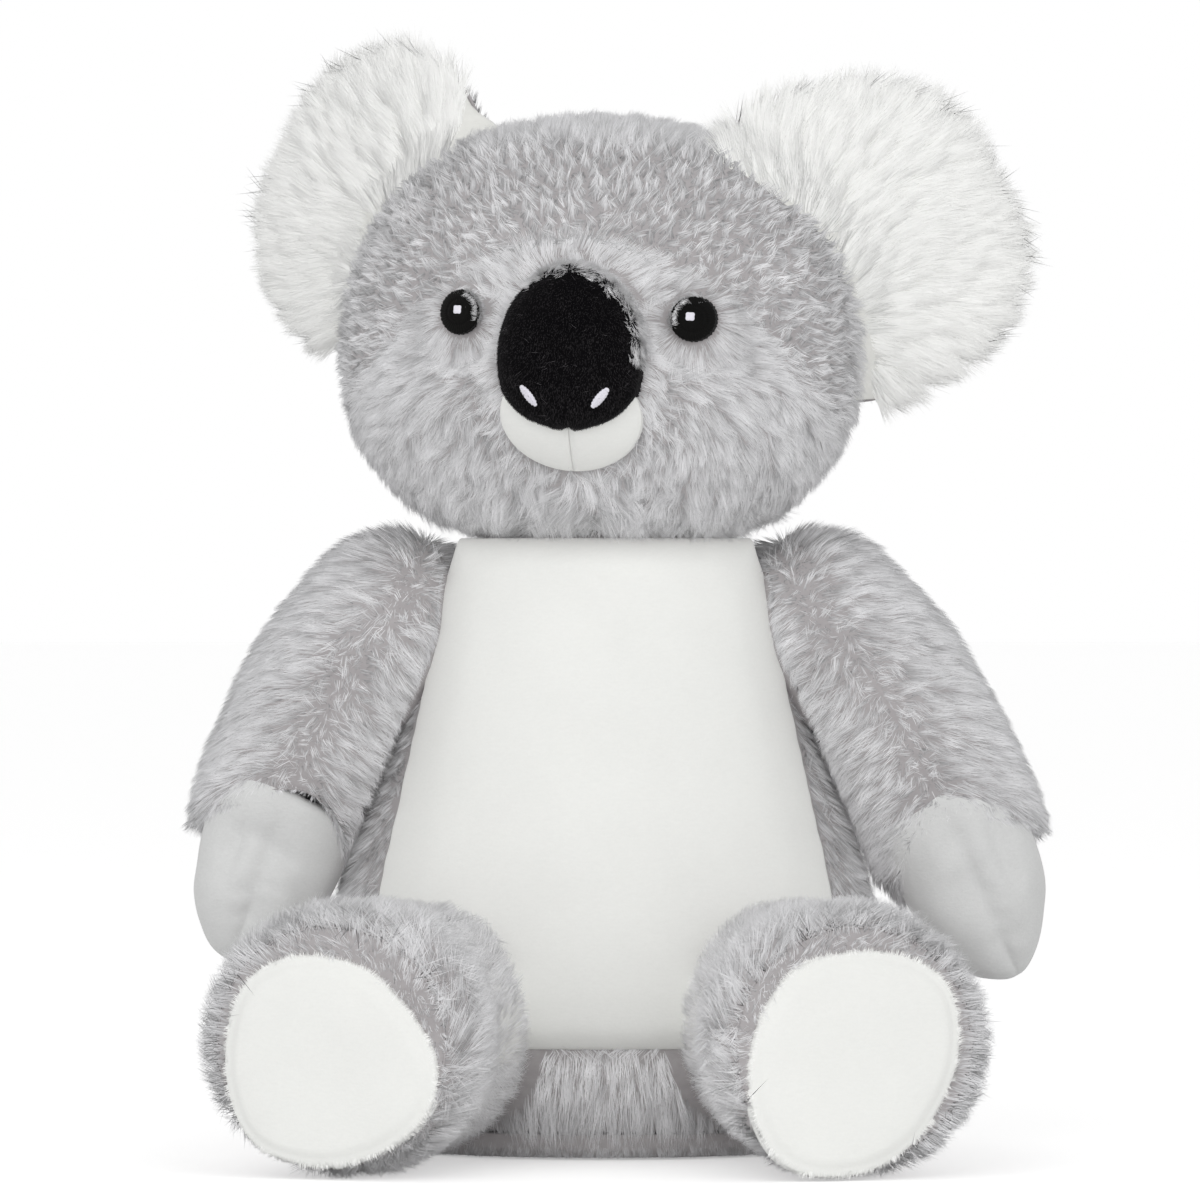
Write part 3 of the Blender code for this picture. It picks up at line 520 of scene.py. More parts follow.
def final_mesh(piece):
    """The vertices, normals and triangles of a piece as its modifiers leave it."""
    mesh = piece.evaluated_get(bpy.context.evaluated_depsgraph_get()).to_mesh()
    mesh.calc_loop_triangles()
    vertices = np.empty(len(mesh.vertices) * 3, np.float32)
    mesh.vertices.foreach_get("co", vertices)
    triangles = np.empty(len(mesh.loop_triangles) * 3, np.int32)
    mesh.loop_triangles.foreach_get("vertices", triangles)
    vertices = vertices.reshape(-1, 3).astype(float)
    triangles = triangles.reshape(-1, 3)
    return vertices, normals_of(vertices, triangles), triangles


# Fur


def scatter(vertices, normals, triangles, density, random):
    """Random places on a skin, as many to each triangle as its area asks, with the skin's normal there."""
    a, b, c = (vertices[triangles[:, i]] for i in range(3))
    area = np.linalg.norm(np.cross(b - a, c - a), axis=1) / 2
    count = int(area.sum() * density)
    picked = random.choice(len(triangles), count, p=area / area.sum())
    first, second = random.random((2, count, 1))
    swap = first + second > 1
    first, second = np.where(swap, 1 - first, first), np.where(swap, 1 - second, second)
    shares = np.concatenate([1 - first - second, first, second], axis=1)
    corners = triangles[picked]
    points = (vertices[corners] * shares[..., None]).sum(axis=1)
    return points, unit((normals[corners] * shares[..., None]).sum(axis=1))


class Strands:
    """Strands of pile before they become a mesh: where each is rooted, which way it lies and how it
    looks."""

    def __init__(self, roots, normals):
        count = len(roots)
        self.roots = roots
        self.normals = normals
        self.way = np.tile((0.0, 0.0, -1.0), (count, 1))
        self.length = np.full(count, 7.5 * MM)
        self.rise = np.full(count, 0.55)
        self.width = np.full(count, 0.18 * MM)
        self.gather = np.full(count, 0.5)
        self.lean = np.full(count, 0.35)
        self.fine = np.zeros(count, bool)
        self.patch = np.full(count, 0.1)
        self.share = np.ones(count)
        self.shade = np.full(count, 0.5)
        # How much painted shade darkens a strand near the edge of its tuft, as the shade between tufts
        self.gap = np.zeros(count)
        self.speckle = np.ones(count)
        self.keep = np.ones(count, bool)


def comb(strands, way, rough=0.0, length=8.2 * MM):
    """Lays the pile along a way. Where it is rough it stands up in short tufts, with painted shade between
    them and on some shorter strands, and elsewhere it lies smooth in broad locks."""
    rough = np.clip(rough, 0, 1) + np.zeros(len(strands.roots))
    strands.way = unit(way) * (1 - 0.55 * rough)[:, None]
    strands.length = length * (1 - 0.46 * rough)
    strands.rise = 0.34 + 0.26 * rough
    strands.gather = 0.22 + 0.24 * rough
    strands.lean = 0.16 + 0.70 * rough
    strands.shade = 0.57 + 0.07 * rough
    strands.patch = 0.03 + 0.13 * rough
    # Painted shade between the tufts, stronger where the pile is rough
    strands.gap = 0.05 + 0.45 * rough
    strands.speckle = 1 + 2.4 * rough
    strands.share = 1 - 0.25 * rough
    # Painted shade: some strands of the rough pile are shorter and darker, as dark specks of shade between
    # the tufts
    short = scrambled(np.round(strands.roots / (0.05 * MM)), 5)[:, 0] < 0.30 * rough
    strands.length = strands.length * np.where(short, 0.75, 1.0)
    strands.shade = strands.shade - np.where(short, 0.34, 0.0)
    strands.fine = rough > 0.55


def strand_mesh(name, strands, settings, random, clear):
    """Closed blades of four triangles: three corners round the root and a tip. Each rises from its root by
    its rise and lies over to its way. Its tip is drawn to the middle of the tuft that it grows in, and each
    tuft leans its own way. It is lit as the tuft is, a round swell on the skin."""
    chosen = strands.keep
    roots, normals = strands.roots[chosen], strands.normals[chosen]
    length, rise = strands.length[chosen][:, None], strands.rise[chosen][:, None]
    count = len(roots)
    size = np.where(strands.fine[chosen], settings.tuft * 0.62, settings.tuft)[:, None]
    middles, own = tufts(roots / size, 1.0, SEED)
    middles = middles * size
    stray = random.normal(size=(count, 3)) * settings.stray + own * strands.lean[chosen][:, None]
    way = strands.way[chosen] + stray
    way = unit(way - normals * (way * normals).sum(axis=1, keepdims=True))
    pull = middles - roots
    pull = pull - normals * (pull * normals).sum(axis=1, keepdims=True)
    # Painted shade: strands near the edge of their tuft are darkened by their gap, as the shade between
    # tufts, since the pile casts no shadows. They are also shorter there.
    between = ramp(np.linalg.norm(pull, axis=1) / size[:, 0], 0.28, 0.6) * strands.gap[chosen]
    length = length * (1 + settings.uneven * (random.random((count, 1)) - 0.5) * 2 + 0.12 * own[:, :1])
    length = length * (1 - 1.1 * between[:, None])
    start = unit(normals * rise + way * (1 - rise))
    root = roots - normals * 0.4 * MM
    bulge = -pull / size
    tip = root + start * length + pull * strands.gather[chosen][:, None]
    side = unit(np.cross(start, random.normal(size=(count, 3))))
    other = np.cross(start, side)
    width = strands.width[chosen][:, None]
    angles = (0, math.tau / 3, 2 * math.tau / 3)
    foot = [root + (side * math.cos(angle) + other * math.sin(angle)) * width for angle in angles]
    vertices = np.stack([*foot, tip], axis=1)
    soft = unit(normals + bulge * settings.roundness)
    outward = unit(vertices - root[:, None])
    outward[:, 3] = soft
    soft = soft[:, None] * settings.softness + outward * (1 - settings.softness)
    vertices = vertices.reshape(-1, 3)
    if clear:
        vertices = clear(vertices)
    pattern = np.array([(2, 1, 0), (0, 1, 3), (1, 2, 3), (2, 0, 3)])
    corners = (np.arange(count)[:, None, None] * 4 + pattern).reshape(-1)
    mesh = bpy.data.meshes.new(name)
    mesh.vertices.add(len(vertices))
    mesh.vertices.foreach_set("co", vertices.astype(np.float32).reshape(-1))
    faces = len(corners) // 3
    mesh.loops.add(len(corners))
    mesh.loops.foreach_set("vertex_index", corners.astype(np.int32))
    mesh.polygons.add(faces)
    mesh.polygons.foreach_set("loop_start", np.arange(0, faces * 3, 3, dtype=np.int32))
    mesh.polygons.foreach_set("use_smooth", np.ones(faces, bool))
    along = np.array([0.0, 0.02, 0.04, 1.0])[pattern].reshape(-1)
    across = np.array([-0.01, 0.01, 0.0, 0.0])[pattern].reshape(-1)
    shade = strands.shade[chosen] + strands.patch[chosen] * own[:, 1] - between
    shade = np.repeat(np.clip(shade, 0.03, 0.97), len(along)) + np.tile(across, count)
    places = np.stack([shade, np.tile(along, count) * 0.96 + 0.02], axis=1)
    mesh.uv_layers.new(name="OFBake").data.foreach_set("uv", places.astype(np.float32).reshape(-1))
    mesh.update(calc_edges=True)
    mesh.normals_split_custom_set_from_vertices(unit(soft.reshape(-1, 3)).astype(np.float32))
    return mesh


def plant(names, skin, body, slot, material, density, style, seed, clear=None, split=(0, 1, 0)):
    """Fur on a skin, as one piece for each name, shared out by place along a direction."""
    settings = bpy.context.scene.koala_fur
    random = np.random.default_rng(SEED + seed)
    share = settings.density * 1.0
    roots, normals = scatter(*final_mesh(skin), density * share / MM ** 2, random)
    strands = Strands(roots, normals)
    style(strands)
    strands.keep &= random.random(len(roots)) < strands.share
    strands.length = strands.length * settings.length
    strands.width = strands.width * settings.width * 1.0
    strands.width = strands.width / np.sqrt(np.clip(strands.share, 0.5, 1))
    mottle = wander(roots, 9 * MM, seed)[:, 0] + wander(roots, 4 * MM, seed + 5)[:, 0]
    strands.shade = strands.shade + (0.05 * mottle + random.normal(size=len(roots)) * 0.035) * strands.speckle
    along = roots @ np.array(split, float)
    edges = np.quantile(along[strands.keep], np.linspace(0, 1, len(names) + 1))
    edges[0], edges[-1] = -np.inf, np.inf
    kept = strands.keep
    pieces = []
    for name, low, high in zip(names, edges, edges[1:]):
        strands.keep = kept & (along >= low) & (along < high)
        mesh = strand_mesh(name, strands, settings, random, clear)
        mesh.materials.append(material)
        piece = bpy.data.objects.new(name, mesh)
        bpy.context.scene.collection.objects.link(piece)
        piece.visible_shadow = False
        piece.visible_diffuse = False
        pieces.append(dress(piece, body, slot))
    return pieces


# Materials


def group(name, inputs, outputs):
    """A shader node group with named sockets, and its two ends."""
    tree = bpy.data.node_groups.new(name, "ShaderNodeTree")
    for label, kind in inputs:
        tree.interface.new_socket(name=label, in_out="INPUT", socket_type=kind)
    for label, kind in outputs:
        tree.interface.new_socket(name=label, in_out="OUTPUT", socket_type=kind)
    return tree, tree.nodes.new("NodeGroupInput"), tree.nodes.new("NodeGroupOutput")


def mixed(tree, factor, first, second, blend="MIX"):
    """A colour mix. Each argument is an output to link or a value."""
    node = tree.nodes.new("ShaderNodeMix")
    node.data_type = "RGBA"
    node.blend_type = blend
    for index, value in ((0, factor), (6, first), (7, second)):
        if isinstance(value, bpy.types.NodeSocket):
            tree.links.new(value, node.inputs[index])
        else:
            node.inputs[index].default_value = value
    return node.outputs[2]


def sums(tree, operation, *values):
    """A Math node's output."""
    node = tree.nodes.new("ShaderNodeMath")
    node.operation = operation
    for index, value in enumerate(values):
        if isinstance(value, bpy.types.NodeSocket):
            tree.links.new(value, node.inputs[index])
        else:
            node.inputs[index].default_value = value
    return node.outputs[0]


def noise(tree, vector, scale, detail=2.0):
    node = tree.nodes.new("ShaderNodeTexNoise")
    node.inputs["Detail"].default_value = detail
    tree.links.new(vector, node.inputs["Vector"])
    if isinstance(scale, bpy.types.NodeSocket):
        tree.links.new(scale, node.inputs["Scale"])
    else:
        node.inputs["Scale"].default_value = scale
    return node.outputs["Fac"]


def pile_group():
    """Colour of a strand: from root to tip along it, times the shade that it has as a whole. Its darker roots
    are partly the pile's own tone and partly painted shade deep in the pile, which casts no shadows.
    """
    tree, start, end = group("Pile", (("Map", "NodeSocketVector"), ("Root", "NodeSocketColor"),
                                      ("Tip", "NodeSocketColor"), ("Mottle", "NodeSocketFloat")),
                             (("Color", "NodeSocketColor"),))
    split = tree.nodes.new("ShaderNodeSeparateXYZ")
    tree.links.new(start.outputs["Map"], split.inputs[0])
    along = sums(tree, "POWER", split.outputs[1], 0.5)
    colour = mixed(tree, along, start.outputs["Root"], start.outputs["Tip"])
    lighter = sums(tree, "SUBTRACT", split.outputs[0], 0.5)
    lighter = sums(tree, "MULTIPLY_ADD", lighter, start.outputs["Mottle"], 1.0)
    shade = tree.nodes.new("ShaderNodeCombineColor")
    for index in range(3):
        tree.links.new(lighter, shade.inputs[index])
    tree.links.new(mixed(tree, 1.0, colour, shade.outputs[0], "MULTIPLY"), end.inputs["Color"])
    return tree


def nap_group():
    """Short velour pile: fine grains, fine streaks along the nap and soft cloudy marks where it was
    stroked."""
    tree, start, end = group("Nap", (("Vector", "NodeSocketVector"), ("Color", "NodeSocketColor"),
                                     ("Shade", "NodeSocketColor"), ("Scale", "NodeSocketFloat")),
                             (("Color", "NodeSocketColor"), ("Height", "NodeSocketFloat")))
    vector = start.outputs["Vector"]
    stretch = tree.nodes.new("ShaderNodeMapping")
    stretch.inputs["Scale"].default_value = (0.35, 0.35, 1.0)
    tree.links.new(vector, stretch.inputs["Vector"])
    grain = noise(tree, vector, start.outputs["Scale"], 3.0)
    streak = noise(tree, stretch.outputs[0], start.outputs["Scale"], 2.0)
    cloud = noise(tree, vector, 38.0, 3.0)
    fine = sums(tree, "MULTIPLY_ADD", grain, 0.5, sums(tree, "MULTIPLY", streak, 0.5))
    mark = sums(tree, "MULTIPLY_ADD", fine, 0.55, sums(tree, "MULTIPLY", cloud, 0.45))
    mark = sums(tree, "MULTIPLY_ADD", mark, 2.4, -0.75)
    node = tree.nodes.new("ShaderNodeClamp")
    tree.links.new(mark, node.inputs[0])
    colour = mixed(tree, node.outputs[0], start.outputs["Shade"], start.outputs["Color"])
    tree.links.new(colour, end.inputs["Color"])
    tree.links.new(fine, end.inputs["Height"])
    return tree


GROUPS = {}


def shader(name, colour=(0.8, 0.8, 0.8), roughness=0.8, sheen=0.0, metallic=0.0, coat=0.0):
    material = bpy.data.materials.new(name)
    material.use_nodes = True
    node = material.node_tree.nodes["Principled BSDF"]
    node.inputs["Base Color"].default_value = (*colour, 1)
    node.inputs["Roughness"].default_value = roughness
    node.inputs["Metallic"].default_value = metallic
    node.inputs["Sheen Weight"].default_value = sheen
    node.inputs["Sheen Roughness"].default_value = 0.5
    node.inputs["Specular IOR Level"].default_value = 0.2 if max(colour) > 0.05 else 0.03
    node.inputs["Coat Weight"].default_value = coat
    return material, material.node_tree, node


def fur_material(name, root, tip, mottle, sheen=0.25):
    material, tree, node = shader(name, tip, roughness=0.75, sheen=sheen)
    if "Pile" not in GROUPS:
        GROUPS["Pile"] = pile_group()
    place = tree.nodes.new("ShaderNodeUVMap")
    place.uv_map = "OFBake"
    pile = tree.nodes.new("ShaderNodeGroup")
    pile.node_tree = GROUPS["Pile"]
    tree.links.new(place.outputs[0], pile.inputs["Map"])
    pile.inputs["Root"].default_value = (*root, 1)
    pile.inputs["Tip"].default_value = (*tip, 1)
    pile.inputs["Mottle"].default_value = mottle
    tree.links.new(pile.outputs["Color"], node.inputs["Base Color"])
    return material


def nap_material(name, colour, shade, scale=1300.0, depth=0.25, sheen=0.3, roughness=0.85):
    """Smooth fabric with a short pile."""
    material, tree, node = shader(name, colour, roughness=roughness, sheen=sheen)
    if "Nap" not in GROUPS:
        GROUPS["Nap"] = nap_group()
    place = tree.nodes.new("ShaderNodeTexCoord")
    nap = tree.nodes.new("ShaderNodeGroup")
    nap.node_tree = GROUPS["Nap"]
    tree.links.new(place.outputs["Object"], nap.inputs["Vector"])
    nap.inputs["Color"].default_value = (*colour, 1)
    nap.inputs["Shade"].default_value = (*shade, 1)
    nap.inputs["Scale"].default_value = scale
    tree.links.new(nap.outputs["Color"], node.inputs["Base Color"])
    bump = tree.nodes.new("ShaderNodeBump")
    bump.inputs["Distance"].default_value = depth * MM
    bump.inputs["Strength"].default_value = 0.6
    tree.links.new(nap.outputs["Height"], bump.inputs["Height"])
    tree.links.new(bump.outputs[0], node.inputs["Normal"])
    return material


class KoalaFur(bpy.types.PropertyGroup):
    density: FloatProperty(name="Density", description="Strands, as a share of the usual number", default=1.0,
                           min=0.05, max=2.0, subtype="FACTOR")
    length: FloatProperty(name="Length", description="Length of the pile, as a share of the usual one",
                          default=1.0, min=0.2, max=2.0, subtype="FACTOR")
    width: FloatProperty(name="Width", description="Width of a strand, as a share of the usual one",
                         default=1.0, min=0.2, max=3.0, subtype="FACTOR")
    uneven: FloatProperty(name="Uneven", description="How much the strands differ in length", default=0.18,
                          min=0.0, max=0.9, subtype="FACTOR")
    stray: FloatProperty(name="Stray", description="How far a strand strays from the way that the pile lies",
                         default=0.11, min=0.0, max=1.0, subtype="FACTOR")
    tuft: FloatProperty(name="Tuft", description="Distance between the tufts", default=4.6 * MM, min=0.5 * MM,
                        unit="LENGTH")
    softness: FloatProperty(name="Softness", description="How much a strand is lit as its tuft is",
                            default=0.72, min=0.0, max=1.0, subtype="FACTOR")
    roundness: FloatProperty(name="Roundness", description="How round a tuft is lit", default=0.9, min=0.0,
                             max=3.0, subtype="FACTOR")
    # The roots are darker than the tips, partly as the pile's own tone and partly as painted shade deep in
    # the pile
    grey_tip: FloatVectorProperty(name="Grey tips", description="Tips of the grey pile", subtype="COLOR",
                                  default=(0.79, 0.79, 0.805), min=0, max=1)
    grey_root: FloatVectorProperty(name="Grey roots", description="Roots of the grey pile", subtype="COLOR",
                                   default=(0.24, 0.23, 0.235), min=0, max=1)
    white_tip: FloatVectorProperty(name="White tips", description="Tips of the ears' pile", subtype="COLOR",
                                   default=(0.94, 0.94, 0.925), min=0, max=1)
    white_root: FloatVectorProperty(name="White roots", description="Roots of the ears' pile",
                                    subtype="COLOR", default=(0.85, 0.855, 0.83), min=0, max=1)


class KoalaVelour(bpy.types.PropertyGroup):
    white: FloatVectorProperty(name="White velour", description="Belly, soles and chin", subtype="COLOR",
                               default=(0.86, 0.865, 0.84), min=0, max=1)
    grey: FloatVectorProperty(name="Grey velour", description="Paws", subtype="COLOR",
                              default=(0.70, 0.705, 0.70), min=0, max=1)
    black: FloatVectorProperty(name="Black velour", description="Nose", subtype="COLOR",
                               default=(0.005, 0.0045, 0.005), min=0, max=1)


class KoalaStage(bpy.types.PropertyGroup):
    key_power: FloatProperty(name="Main light", description="Power of the light in front", default=17.0,
                             min=0.0)
    sky: FloatProperty(name="Sky", description="Strength of the light from all round", default=0.62, min=0.0)
    lens: FloatProperty(name="Lens", description="Focal length of the camera, in millimetres", default=242.0)
    distance: FloatProperty(name="Distance", description="From the camera to the koala's seat", default=2.5,
                            unit="LENGTH")
    eye_level: FloatProperty(name="Height", description="Height of the camera", default=0.170, unit="LENGTH")


MATERIALS = {}


def material(name):
    """The koala's materials, made when first asked for."""
    if name in MATERIALS:
        return MATERIALS[name]
    fur, velour = bpy.context.scene.koala_fur, bpy.context.scene.koala_velour
    makers = {
        "grey_fur": lambda: fur_material(name, fur.grey_root, fur.grey_tip, 1.0),
        "black_pile": lambda: fur_material(name, (0.002, 0.002, 0.002), (0.007, 0.0065, 0.007), 60.0, 0.02),
        "white_fur": lambda: fur_material(name, fur.white_root, fur.white_tip, 0.30),
        "grey_backing": lambda: nap_material(name, (0.44, 0.42, 0.425), (0.34, 0.32, 0.325), 500.0, 0.4),
        "white_backing": lambda: nap_material(name, (0.80, 0.80, 0.77), (0.68, 0.68, 0.65), 500.0, 0.4),
        "white_velour": lambda: nap_material(name, velour.white, tuple(0.93 * c for c in velour.white),
                                             1300.0, 0.10),
        "grey_velour": lambda: nap_material(name, velour.grey, tuple(0.86 * c for c in velour.grey), 1500.0,
                                            0.25),
        "black_velour": lambda: nap_material(name, velour.black, (0.001, 0.001, 0.0015), 2200.0, 0.15, 0.02,
                                             0.9),
        "black_thread": lambda: nap_material(name, (0.008, 0.0075, 0.007), (0.003, 0.003, 0.003), 3000.0,
                                             0.05, 0.05, 0.6),
        "white_thread": lambda: nap_material(name, (0.84, 0.83, 0.88), (0.70, 0.68, 0.76), 3000.0, 0.05,
                                             0.1, 0.45),
        "stuffing": lambda: nap_material(name, (0.85, 0.85, 0.83), (0.78, 0.78, 0.76), 400.0, 0.3),
        "zip_tape": lambda: nap_material(name, (0.42, 0.42, 0.44), (0.33, 0.33, 0.35), 2600.0, 0.1),
        "zip_nylon": lambda: nap_material(name, (0.45, 0.45, 0.47), (0.36, 0.36, 0.38), 1800.0, 0.05, 0.0,
                                          0.4),
    }
    if name == "zip_metal":
        made, _, node = shader(name, (0.55, 0.55, 0.56), roughness=0.35, metallic=1.0)
        node.inputs["Specular IOR Level"].default_value = 0.5
    else:
        made = makers[name]()
    MATERIALS[name] = made
    return made


# Head


def face_distance(points, middle, half_width, half_height):
    """How far a place on the face is from an oval patch: 1 on its edge, with the patch's shape, front side
    only."""
    x = (points[:, 0] - middle[0]) / half_width
    z = (points[:, 2] - middle[1]) / half_height
    far = np.hypot(x, z)
    return np.where(points[:, 1] < 0, far, 9.0)


def nose_share(points):
    """Distance of a face place from the nose's middle, as a share of the nose's outline there."""
    x = points[:, 0] / (NOSE_WIDTH / 2)
    z = (points[:, 2] - NOSE_UP) / (NOSE_HEIGHT / 2)
    level = np.degrees(np.arctan2(z, np.abs(x)))
    table = np.array(NOSE_SHARES)
    return np.where(points[:, 1] < 0, np.hypot(x, z) / np.interp(level, table[:, 0], table[:, 1]), 9.0)


def eye_share(points):
    """Distance of a face place from the nearer eye's middle, as a share of the eye's radius."""
    reach = EYE_DIAMETER / 2
    return np.minimum(*(face_distance(points, (sign * EYES_APART / 2, EYE_UP), reach, reach + 0.6 * MM)
                        for sign in (-1, 1)))


def head_relief(points, normals):
    """The face's own swells and hollows, along the normal: brow ridge, eye hollows and cheeks. Round the
    nose and the eyes, which are sewn through it, the skin comes nearly to the outline."""
    x, y, z = points.T
    front = ramp(-y, 0.0, 25 * MM)
    brow = 4.5 * MM * hump(z, 83 * MM - 9 * x ** 2, 8 * MM) * hump(x, 0, 42 * MM)
    eye = eye_share(points)
    hollow = 2.6 * MM * hump(eye, 2.0, 0.9)
    cheeks = sum(hump(x, sign * 46 * MM, 20 * MM) * hump(z, 26 * MM, 18 * MM) for sign in (-1, 1))
    seam = hump(x, 0, 2.5 * MM) * ramp(-z, -12 * MM, 0)
    held = 2.6 * MM * ramp(-eye, -1.7, -1.1) + 2.4 * MM * ramp(-nose_share(points), -1.35, -1.08)
    drop = ramp(-z, -18 * MM, -2 * MM) * (1.0 * MM + 3.5 * MM * ramp(-y, 10 * MM, 40 * MM))
    points = points - np.array((0, 0, 1)) * drop[:, None]
    return points + normals * (front * (brow - hollow + held + 1.6 * MM * cheeks - 1.5 * MM * seam))[:, None]


def lined(name, vertices, faces, body, node):
    """The stuffing in its liner, inside a skin."""
    piece = new_piece(name, sunk(vertices, faces, LINER_DEPTH), faces, material("stuffing"))
    return dress(piece, body, "stuffing", node)


def make_head():
    vertices, faces = stack(rings(spline(head_rows(), 3), 72, MUZZLE_POWER))
    local = sunk(vertices, faces, PILE_DEPTH)
    local = head_relief(local, normals_of(local, triangles_of(faces)))
    x, y, z = local.T
    behind = ramp(z + y, 60 * MM, 80 * MM)
    gussets = hump(np.abs(x), 24 * MM, 2.5 * MM) * behind + hump(x, 0, 2.5 * MM) * ramp(-z, -12 * MM, 0)
    held = gussets + (nose_share(local) < 1.3) + (eye_share(local) < 1.4) + ramp(-z, 2 * MM, 8 * MM)
    local = stuffed(local, faces, held, 1.5 * MM)
    world = clear_of_ball(moved(local, HEAD), DOME_MIDDLE, DOME_RADIUS + 1 * MM)
    skin = rounded(new_piece("head_skin", world, faces, material("grey_backing")))
    dress(skin, "head", "grey_plush", "head_cover")
    inner = clear_of_ball(moved(vertices, HEAD), DOME_MIDDLE, DOME_RADIUS + LINER_DEPTH + 2 * MM)
    lined("head_stuffing", inner, faces, "head", "head_pod")
    return skin


def head_style(strands):
    """The nap runs away from the nose and droops to the sides. It is flat round the nose and the eyes,
    where it fans out from them, stands up on the forehead, and falls straight under the chin."""
    q = moved(strands.roots, HEAD_BACK)
    x, y, z = q.T
    away = unit(q - np.array((0, NOSE_PLACE[1] + 8 * MM, NOSE_UP)))
    behind = ramp(y, -5 * MM, 40 * MM)
    low = ramp(-z, -34 * MM, 4 * MM) * ramp(-y, -10 * MM, 20 * MM)
    down = np.array((0.0, 0.0, -1.0))
    cheek = ramp(-z, -62 * MM, -30 * MM)
    way = away * (1 - 0.8 * low)[:, None] + down * (0.10 + 0.45 * cheek + 0.9 * behind + 1.3 * low)[:, None]
    way[:, 0] += 0.35 * low * np.tanh(x / (3 * MM)) * hump(x, 0, 16 * MM)
    nose = nose_share(q)
    eye = eye_share(q)
    side = np.sign(x)
    fan = unit(np.stack([x - side * EYES_APART / 2, 0 * x, z - EYE_UP], axis=1))
    near_eye = ramp(-eye, -2.6, -1.5) * ramp(EYE_UP + 3 * MM - z, -2 * MM, 2 * MM)
    forehead = ramp(z + 9 * x ** 2, 73 * MM, 80 * MM) * ramp(-z, -112 * MM, -98 * MM) * ramp(-y, 0, 25 * MM)
    brow = hump(z, 81 * MM - 9 * x ** 2, 5 * MM) * ramp(-y, 20 * MM, 40 * MM) * hump(x, 0, 34 * MM)
    bridge = hump(x, 0, 24 * MM) * (nose < 1.6) * ramp(76 * MM - 9 * x ** 2 - z, 0, 2 * MM)
    rim = np.maximum(ramp(-nose, -1.35, -1.10), bridge * ramp(z, 62 * MM, 68 * MM))
    muzzle = 0.55 * hump(nose, 1.35, 0.35) * ramp(-z, -72 * MM, -50 * MM) * (1 - near_eye)
    rough = np.clip(forehead + brow * 0.3 + muzzle + 0.22 * (1 - behind), 0, 1)
    rough = rough * (1 - 0.8 * near_eye) * (1 - rim)
    rough = rough * (1 - 0.6 * low) + 0.25 * low
    way = unit(way) + wander(q, 13 * MM, 3) * (0.25 + 0.4 * rough)[:, None] + 0.30 * wander(q, 6 * MM, 4)
    way = way * (1 - near_eye)[:, None] + fan * 1.4 * near_eye[:, None] - fan * (brow * 0.2)[:, None]
    comb(strands, turned(way, HEAD), rough)
    strands.share = strands.share * (1 - 0.6 * ramp(y, -12 * MM, 15 * MM))
    length = strands.length + (1.5 * brow + 3.5 * low * ramp(-z, -8 * MM, 4 * MM)) * MM
    strands.length = length * (0.70 + 0.30 * ramp(eye, 1.0, 1.6)) * (0.65 + 0.35 * ramp(nose, 1.0, 1.4))
    strands.rise = strands.rise - 0.10 * near_eye - 0.10 * rim
    # Painted shadow: a dark line just above the nose, under the brow ridge
    crease = hump(z, 76.5 * MM - 9 * x ** 2, 1.8 * MM) * hump(x, -10 * MM, 24 * MM)
    crease = crease * ramp(-y, 20 * MM, 40 * MM)
    # Painted shade: a dark upright line beside the outer side of each eye, as the shade in a fold of the face
    painted_fold_shade = hump(side * x, EYES_APART / 2 + 11 * MM, 2.2 * MM) * hump(z, EYE_UP - 2 * MM, 12 * MM)
    strands.shade = strands.shade + 0.05 * near_eye + 0.12 * rim - 0.40 * crease
    strands.shade = strands.shade - 0.20 * painted_fold_shade * ramp(-y, 0, 20 * MM)
    angle = np.degrees(np.arctan2(z - NOSE_UP, x))
    edge = nose < 1.09 + 0.03 * wander(q, 4 * MM, 8)[:, 0]
    over = edge & (angle > 15) & (angle < 68)
    inner = (side * fan[:, 0] < 0.25) & (fan[:, 2] > -0.15) & (eye < 1.28)
    strands.rise = np.where(edge, 0.62, np.where(inner, 0.5, strands.rise))
    strands.lean = np.where(edge, 0.5, strands.lean)
    towards = np.where(over[:, None], -away, np.where(inner[:, None], -fan, turned(strands.way, HEAD_BACK)))
    strands.way = turned(towards, HEAD)
    strands.length = np.where(inner, 5.0 * MM, strands.length)
    chin = face_distance(q, (0, CHIN_UP), CHIN_WIDTH / 2, CHIN_HEIGHT / 2)
    dome = np.linalg.norm(strands.roots - DOME_MIDDLE, axis=1)
    strands.keep = (nose > 0.97) & (eye > 0.96) & (chin > 0.95) & (dome > DOME_RADIUS + 2 * MM)
    for ear in SIDES:
        strands.keep &= (ear_share(strands.roots, ear) > 0.97) | (past_limit(strands.roots, ear) < 1 * MM)


def rim_style(middle, towards, reach):
    """Grey pile that lies over the rim of a pad from the face round it, on the side that a direction names,
    with the share of the rim that it leaves and its length."""
    def style(strands):
        q = moved(strands.roots, HEAD_BACK)
        x, z = q[:, 0] - middle[0], q[:, 2] - middle[1]
        inward = unit(np.stack([-x, 0 * x, -z], axis=1))
        side = -(inward[:, 0] * towards[0] + inward[:, 2] * towards[1])
        far = np.hypot(x / reach[0], z / reach[1])
        way = inward + 0.7 * wander(q, 2.5 * MM, 27) + np.array((0.0, 0.0, -0.25))
        comb(strands, turned(way, HEAD), 0.25, towards[3])
        strands.width = np.full(len(q), 0.09 * MM)
        strands.gather, strands.lean = np.zeros(len(q)), np.full(len(q), 0.25)
        ragged = 0.90 + 0.06 * wander(q, 3 * MM, 28)[:, 0]
        strands.keep = (far > ragged) & (side > towards[2]) & (strands.normals[:, 1] < 0.2)

    return style


